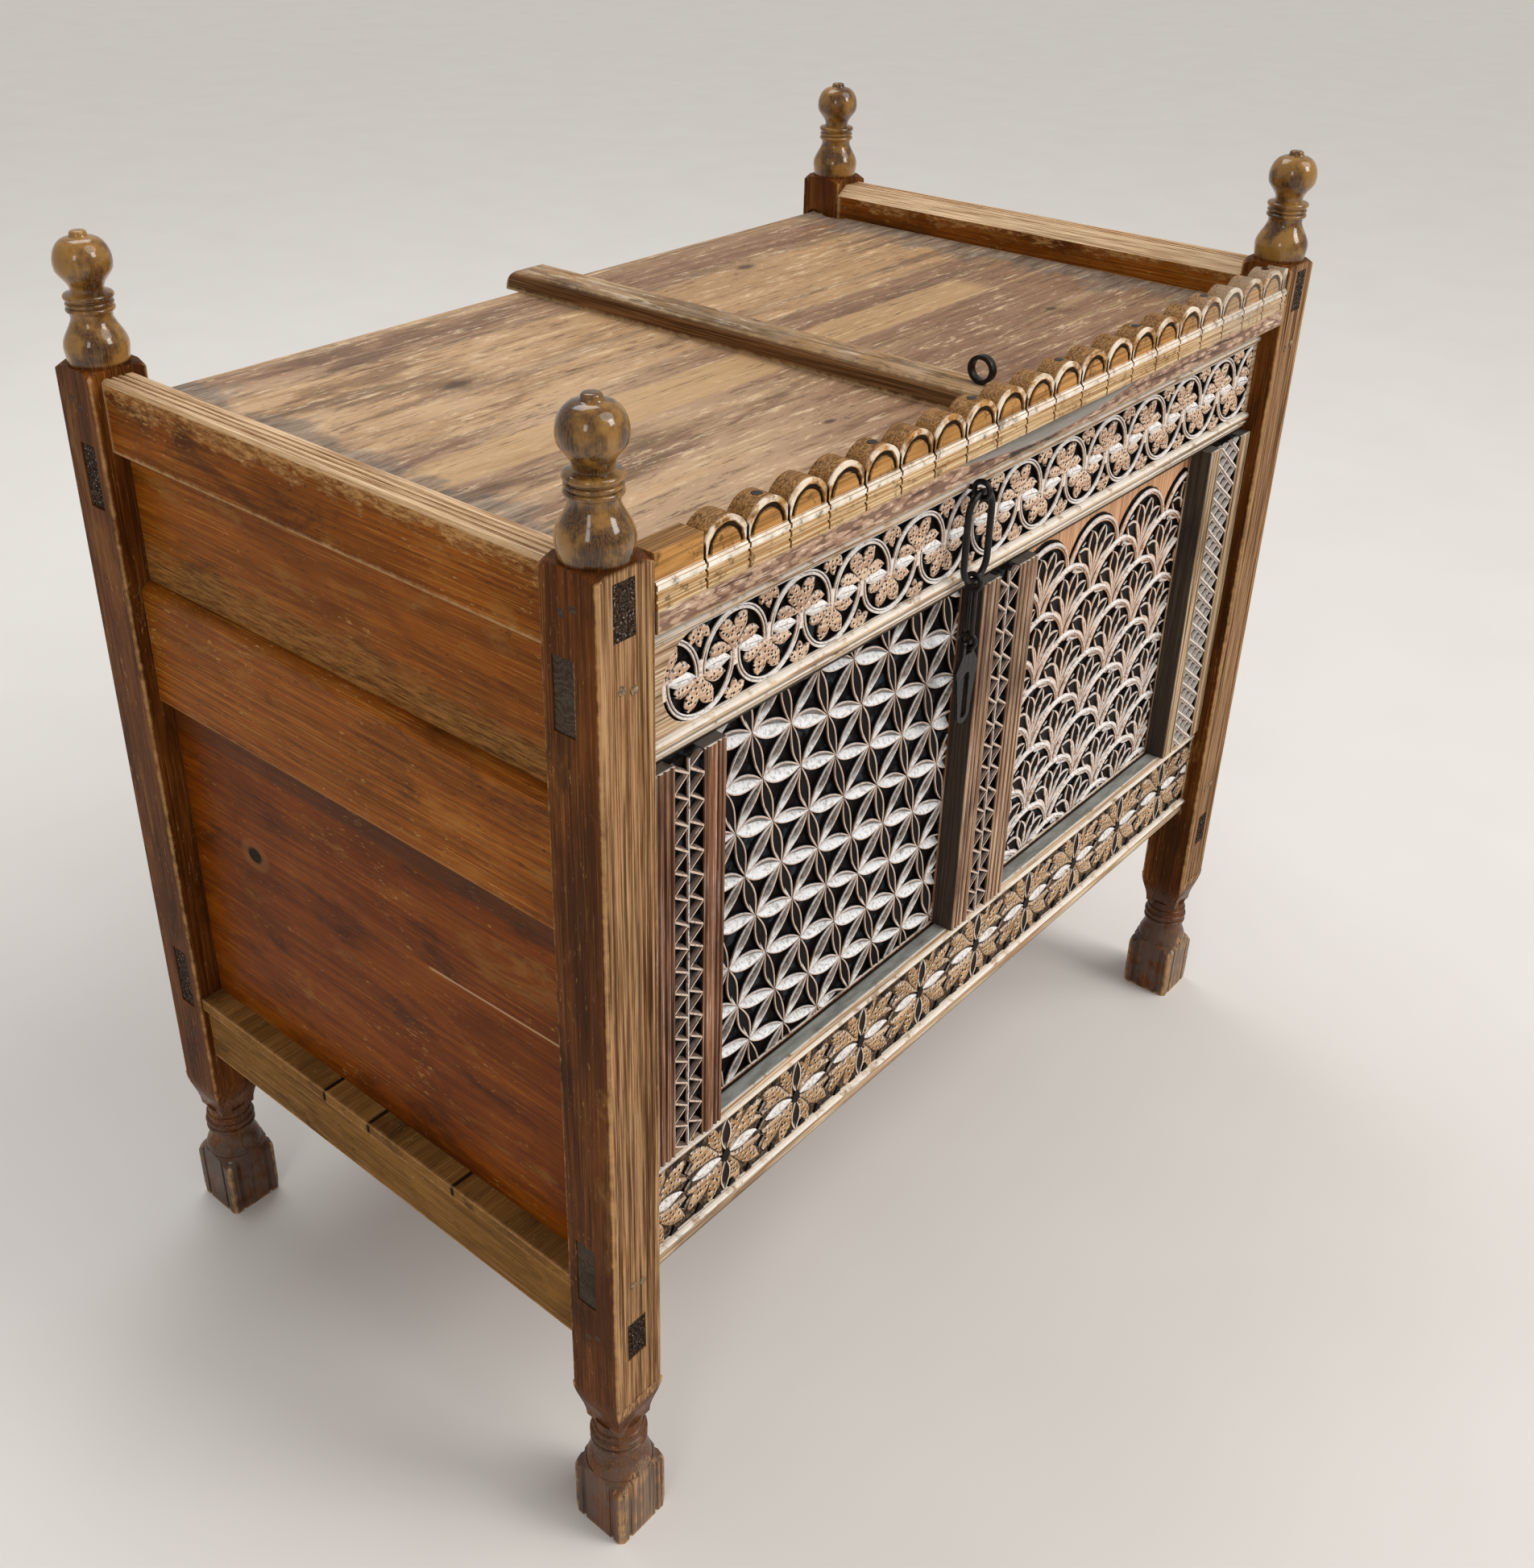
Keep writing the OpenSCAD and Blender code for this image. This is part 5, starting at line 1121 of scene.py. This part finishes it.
def carve(name, meshes, mat, field, body="carcass"):
    """Joins set-out motifs into one piece and trims it to the field (x0, x1, z0, z1) in millimetres."""
    bm = bmesh.new()
    for mesh in meshes:
        bm.from_mesh(mesh)
        bpy.data.meshes.remove(mesh)
    for i, edge in enumerate(field):
        # The field's ends lie along X, then along Z, the lower one first
        across = Vector((i < 2, 0, i > 1))
        bmesh.ops.bisect_plane(bm, geom=bm.verts[:] + bm.edges[:] + bm.faces[:], clear_outer=True,
                               dist=1e-7, plane_co=across * (edge * MM),
                               plane_no=across * (1 if i % 2 else -1))
        rim = [e for e in bm.edges if e.is_boundary]
        if rim:
            bmesh.ops.holes_fill(bm, edges=rim, sides=0)
    bmesh.ops.dissolve_degenerate(bm, edges=bm.edges[:], dist=2e-6)
    mesh = bpy.data.meshes.new(name)
    bm.to_mesh(mesh)
    bm.free()
    mesh.materials.clear()
    mesh.materials.append(mat)
    for poly in mesh.polygons:
        poly.use_smooth = True
        poly.material_index = 0
    mesh.set_sharp_from_angle(angle=math.radians(32))
    obj = add_object(name, mesh)
    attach(obj, body)
    return obj


def carve_left_panel():
    """Six-petal flowers on a leaning triangular lattice."""
    mat = carved_work("six_petal_lattice", "Z", ("#70543f", "#b09078", "#d6bea8"), 81, hollow="#1c1614",
                      rim="#dfc6b8", lit_tone="#eceff1", lit_from=(0.36, 0.5))
    field = inner_field("front_left_panel", 2.0)
    a, b = [(LATTICE * math.cos(t), 0, LATTICE * math.sin(t))
            for t in (LATTICE_LEAN, LATTICE_LEAN - math.pi / 3)]
    start = tuple(LATTICE_CENTRE[i] - 6 * a[i] - 5 * b[i] for i in range(3))
    row = 18
    meshes = []
    for k, way in enumerate((0, -60, 60)):
        # A turn about Y by +t takes +X towards -Z
        turn = -(LATTICE_LEAN + math.radians(way))
        meshes.append(set_out(petal_motif(k), mat, row * row, row, start, a, b, turn=turn, waver=7.0,
                              waver_length=60.0, play=0.16, seed=3 + k))
    return carve("six_petal_carving", meshes, mat, field)


def carve_right_panel():
    """Overlapping palmettes in staggered rows."""
    mat = carved_work("palmette_scales", "Z", ("#6f452b", "#b3825c", "#cfa07a"), 84, hollow="#150c08",
                      pit="#120a06", lit_from=(0.4, 0.65), rim="#efdccd", crest_wear=0.85,
                      pale_below=(700.0, 500.0))
    field = inner_field("front_right_panel", 2.0)
    x, z, step, drop, fall = FAN_ROWS
    mesh = set_out(fan_motif(), mat, 7 * 13, 7, (x - 3 * step, PANEL_FACE, z + 3 * step * fall),
                   (step, 0, -step * fall), (2.7, 0, -drop), (step / 2, 0, 0), waver=7.0,
                   waver_length=90.0, seed=9)
    return carve("palmette_carving", [mesh], mat, field)


def trimmed(field, inset=0.5):
    return (field[0] + inset, field[1] - inset, field[2] + inset, field[3] - inset)


def carve_top_rail():
    """The running vine: looping stems above and below, with pale leaves along the middle."""
    mat = carved_work("running_vine", "X", ("#86604a", "#c39d81", "#dfc2a6"), 87, lit_from=(0.1, 0.4),
                      crest_wear=0.8, rim="#efe7de", dots=0.2)
    low = set_out(vine_motif(), mat, 13, 13, (VINE_X, TOP_FACE, VINE_Z), (VINE_STEP, 0, 0), waver=5.0,
                  seed=11)
    high = set_out(vine_motif(), mat, 13, 13, (VINE_X - VINE_STEP / 2, TOP_FACE, VINE_Z),
                   (VINE_STEP, 0, 0), turn=math.pi, waver=5.0, seed=12)
    mid = set_out(midrib_leaf_motif(), mat, 25, 25, (VINE_X - VINE_STEP / 4, TOP_FACE, VINE_Z),
                  (VINE_STEP / 2, 0, 0), waver=5.0, seed=13)
    return carve("running_vine_carving", [low, high, mid], mat, trimmed(VINE_FIELD))


def carve_bottom_rail():
    """A row of eight-leaved rosettes with black diamonds between them."""
    mat = carved_work("rosette_row", "X", ("#76522f", "#a57f57", "#c6a37c"), 90, hollow="#24160d",
                      lit_from=(0.1, 0.4), rim="#f3ece4", dots=0.17)
    mesh = set_out(rosette_motif(), mat, 11, 11, (ROSETTE_X - ROSETTE_STEP, BOTTOM_FACE, ROSETTE_Z),
                   (ROSETTE_STEP, 0, 0), waver=5.0, waver_length=60.0, seed=14)
    return carve("rosette_carving", [mesh], mat, trimmed(ROSETTE_FIELD))


def carve_stiles():
    """Chip carving in the sunk strips of the stiles: two columns of teeth, or a net."""
    for (side, middle, width), pitch in zip(STRIPS, (24.0, 25.5, 20.0)):
        name = side + "_crossings"
        net = side == "right"
        mat = carved_work(name + "_wood", "Z", ("#54341f", "#8a6044", "#b08a6a"), 93 + len(name),
                          hollow="#1e120c", rim="#f0e8e0" if net else "#d9c4b4",
                          lit_tone="#a8a39c" if net else "#5d4a3e",
                          lit_from=(0.3, 0.5) if net else (0.5, 0.75), crest_wear=0.9)
        count = int((STILE_HIGH - STILE_LOW) / pitch) + 4
        start = (middle, STILE_FACE, STILE_LOW - pitch)
        motif = cross_motif(width, 40.0) if net else teeth_motif(width, pitch)
        meshes = [set_out(motif, mat, count, count, start, (0, 0, pitch), waver=3.0, waver_length=30.0,
                          seed=20 + len(name))]
        if not net:
            meshes.append(set_out(line_motif(pitch), mat, count, count, start, (0, 0, pitch), waver=3.0,
                                  waver_length=30.0, seed=21))
        carve(name, meshes, mat, trimmed(strip_field(middle, width), 0.4))


# The studio
def make_studio():
    floor = bpy.data.meshes.new("studio_floor")
    floor.from_pydata([(-40, -40, 0), (40, -40, 0), (40, 40, 0), (-40, 40, 0)], [], [(0, 1, 2, 3)])
    p = Paint("pale_studio_floor", 0.1)
    p.colour = p.mix(p.noise(0.004, 2.0), "#dfdcd8", "#e6e3e0")
    floor.materials.append(p.finish(0.8, None))
    obj = add_object("studio_floor", floor)
    world = bpy.data.worlds.new("studio_light")
    bpy.context.scene.world = world
    world.use_nodes = True
    nt = world.node_tree
    back = nt.nodes["Background"].inputs
    seen = add_node(nt, "ShaderNodeLightPath")["Is Camera Ray"]
    power = add_node(nt, "ShaderNodeMapRange",
                     {"Value": seen, "To Min": WORLD_POWER, "To Max": BACKDROP_POWER})
    put(nt, back["Strength"], power["Result"])
    put(nt, back["Color"], "#f4f1ed")
    sun = bpy.data.lights.new("soft_daylight", "SUN")
    sun.energy = 1.15
    sun.angle = math.radians(40)
    sun.color = WARM
    add_object("soft_daylight", sun, turn=Vector(SUN_FROM).to_track_quat("Z", "Y").to_euler())
    area_lamp("front_window", (1.4, -4.2, 3.4), (0, 0, 0.6), (1.5, 1.5), 70, WARM)
    area_lamp("side_window", (-3.6, -1.6, 2.6), (0, 0, 0.8), (0.7, 1.2), 14, (1.0, 0.99, 0.97))
    area_lamp("skylight", (0.4, 1.6, 4.2), (0, 0, 0.9), (2.4, 1.8), 55, (0.97, 0.98, 1.0))


make_camera()
make_studio()
paint_posts()
paint_front()
paint_sides()
paint_back_and_floor()
paint_lid()
paint_small()
carve_left_panel()
carve_right_panel()
carve_top_rail()
carve_bottom_rail()
carve_stiles()

bpy.context.scene.view_settings.view_transform = "Standard"
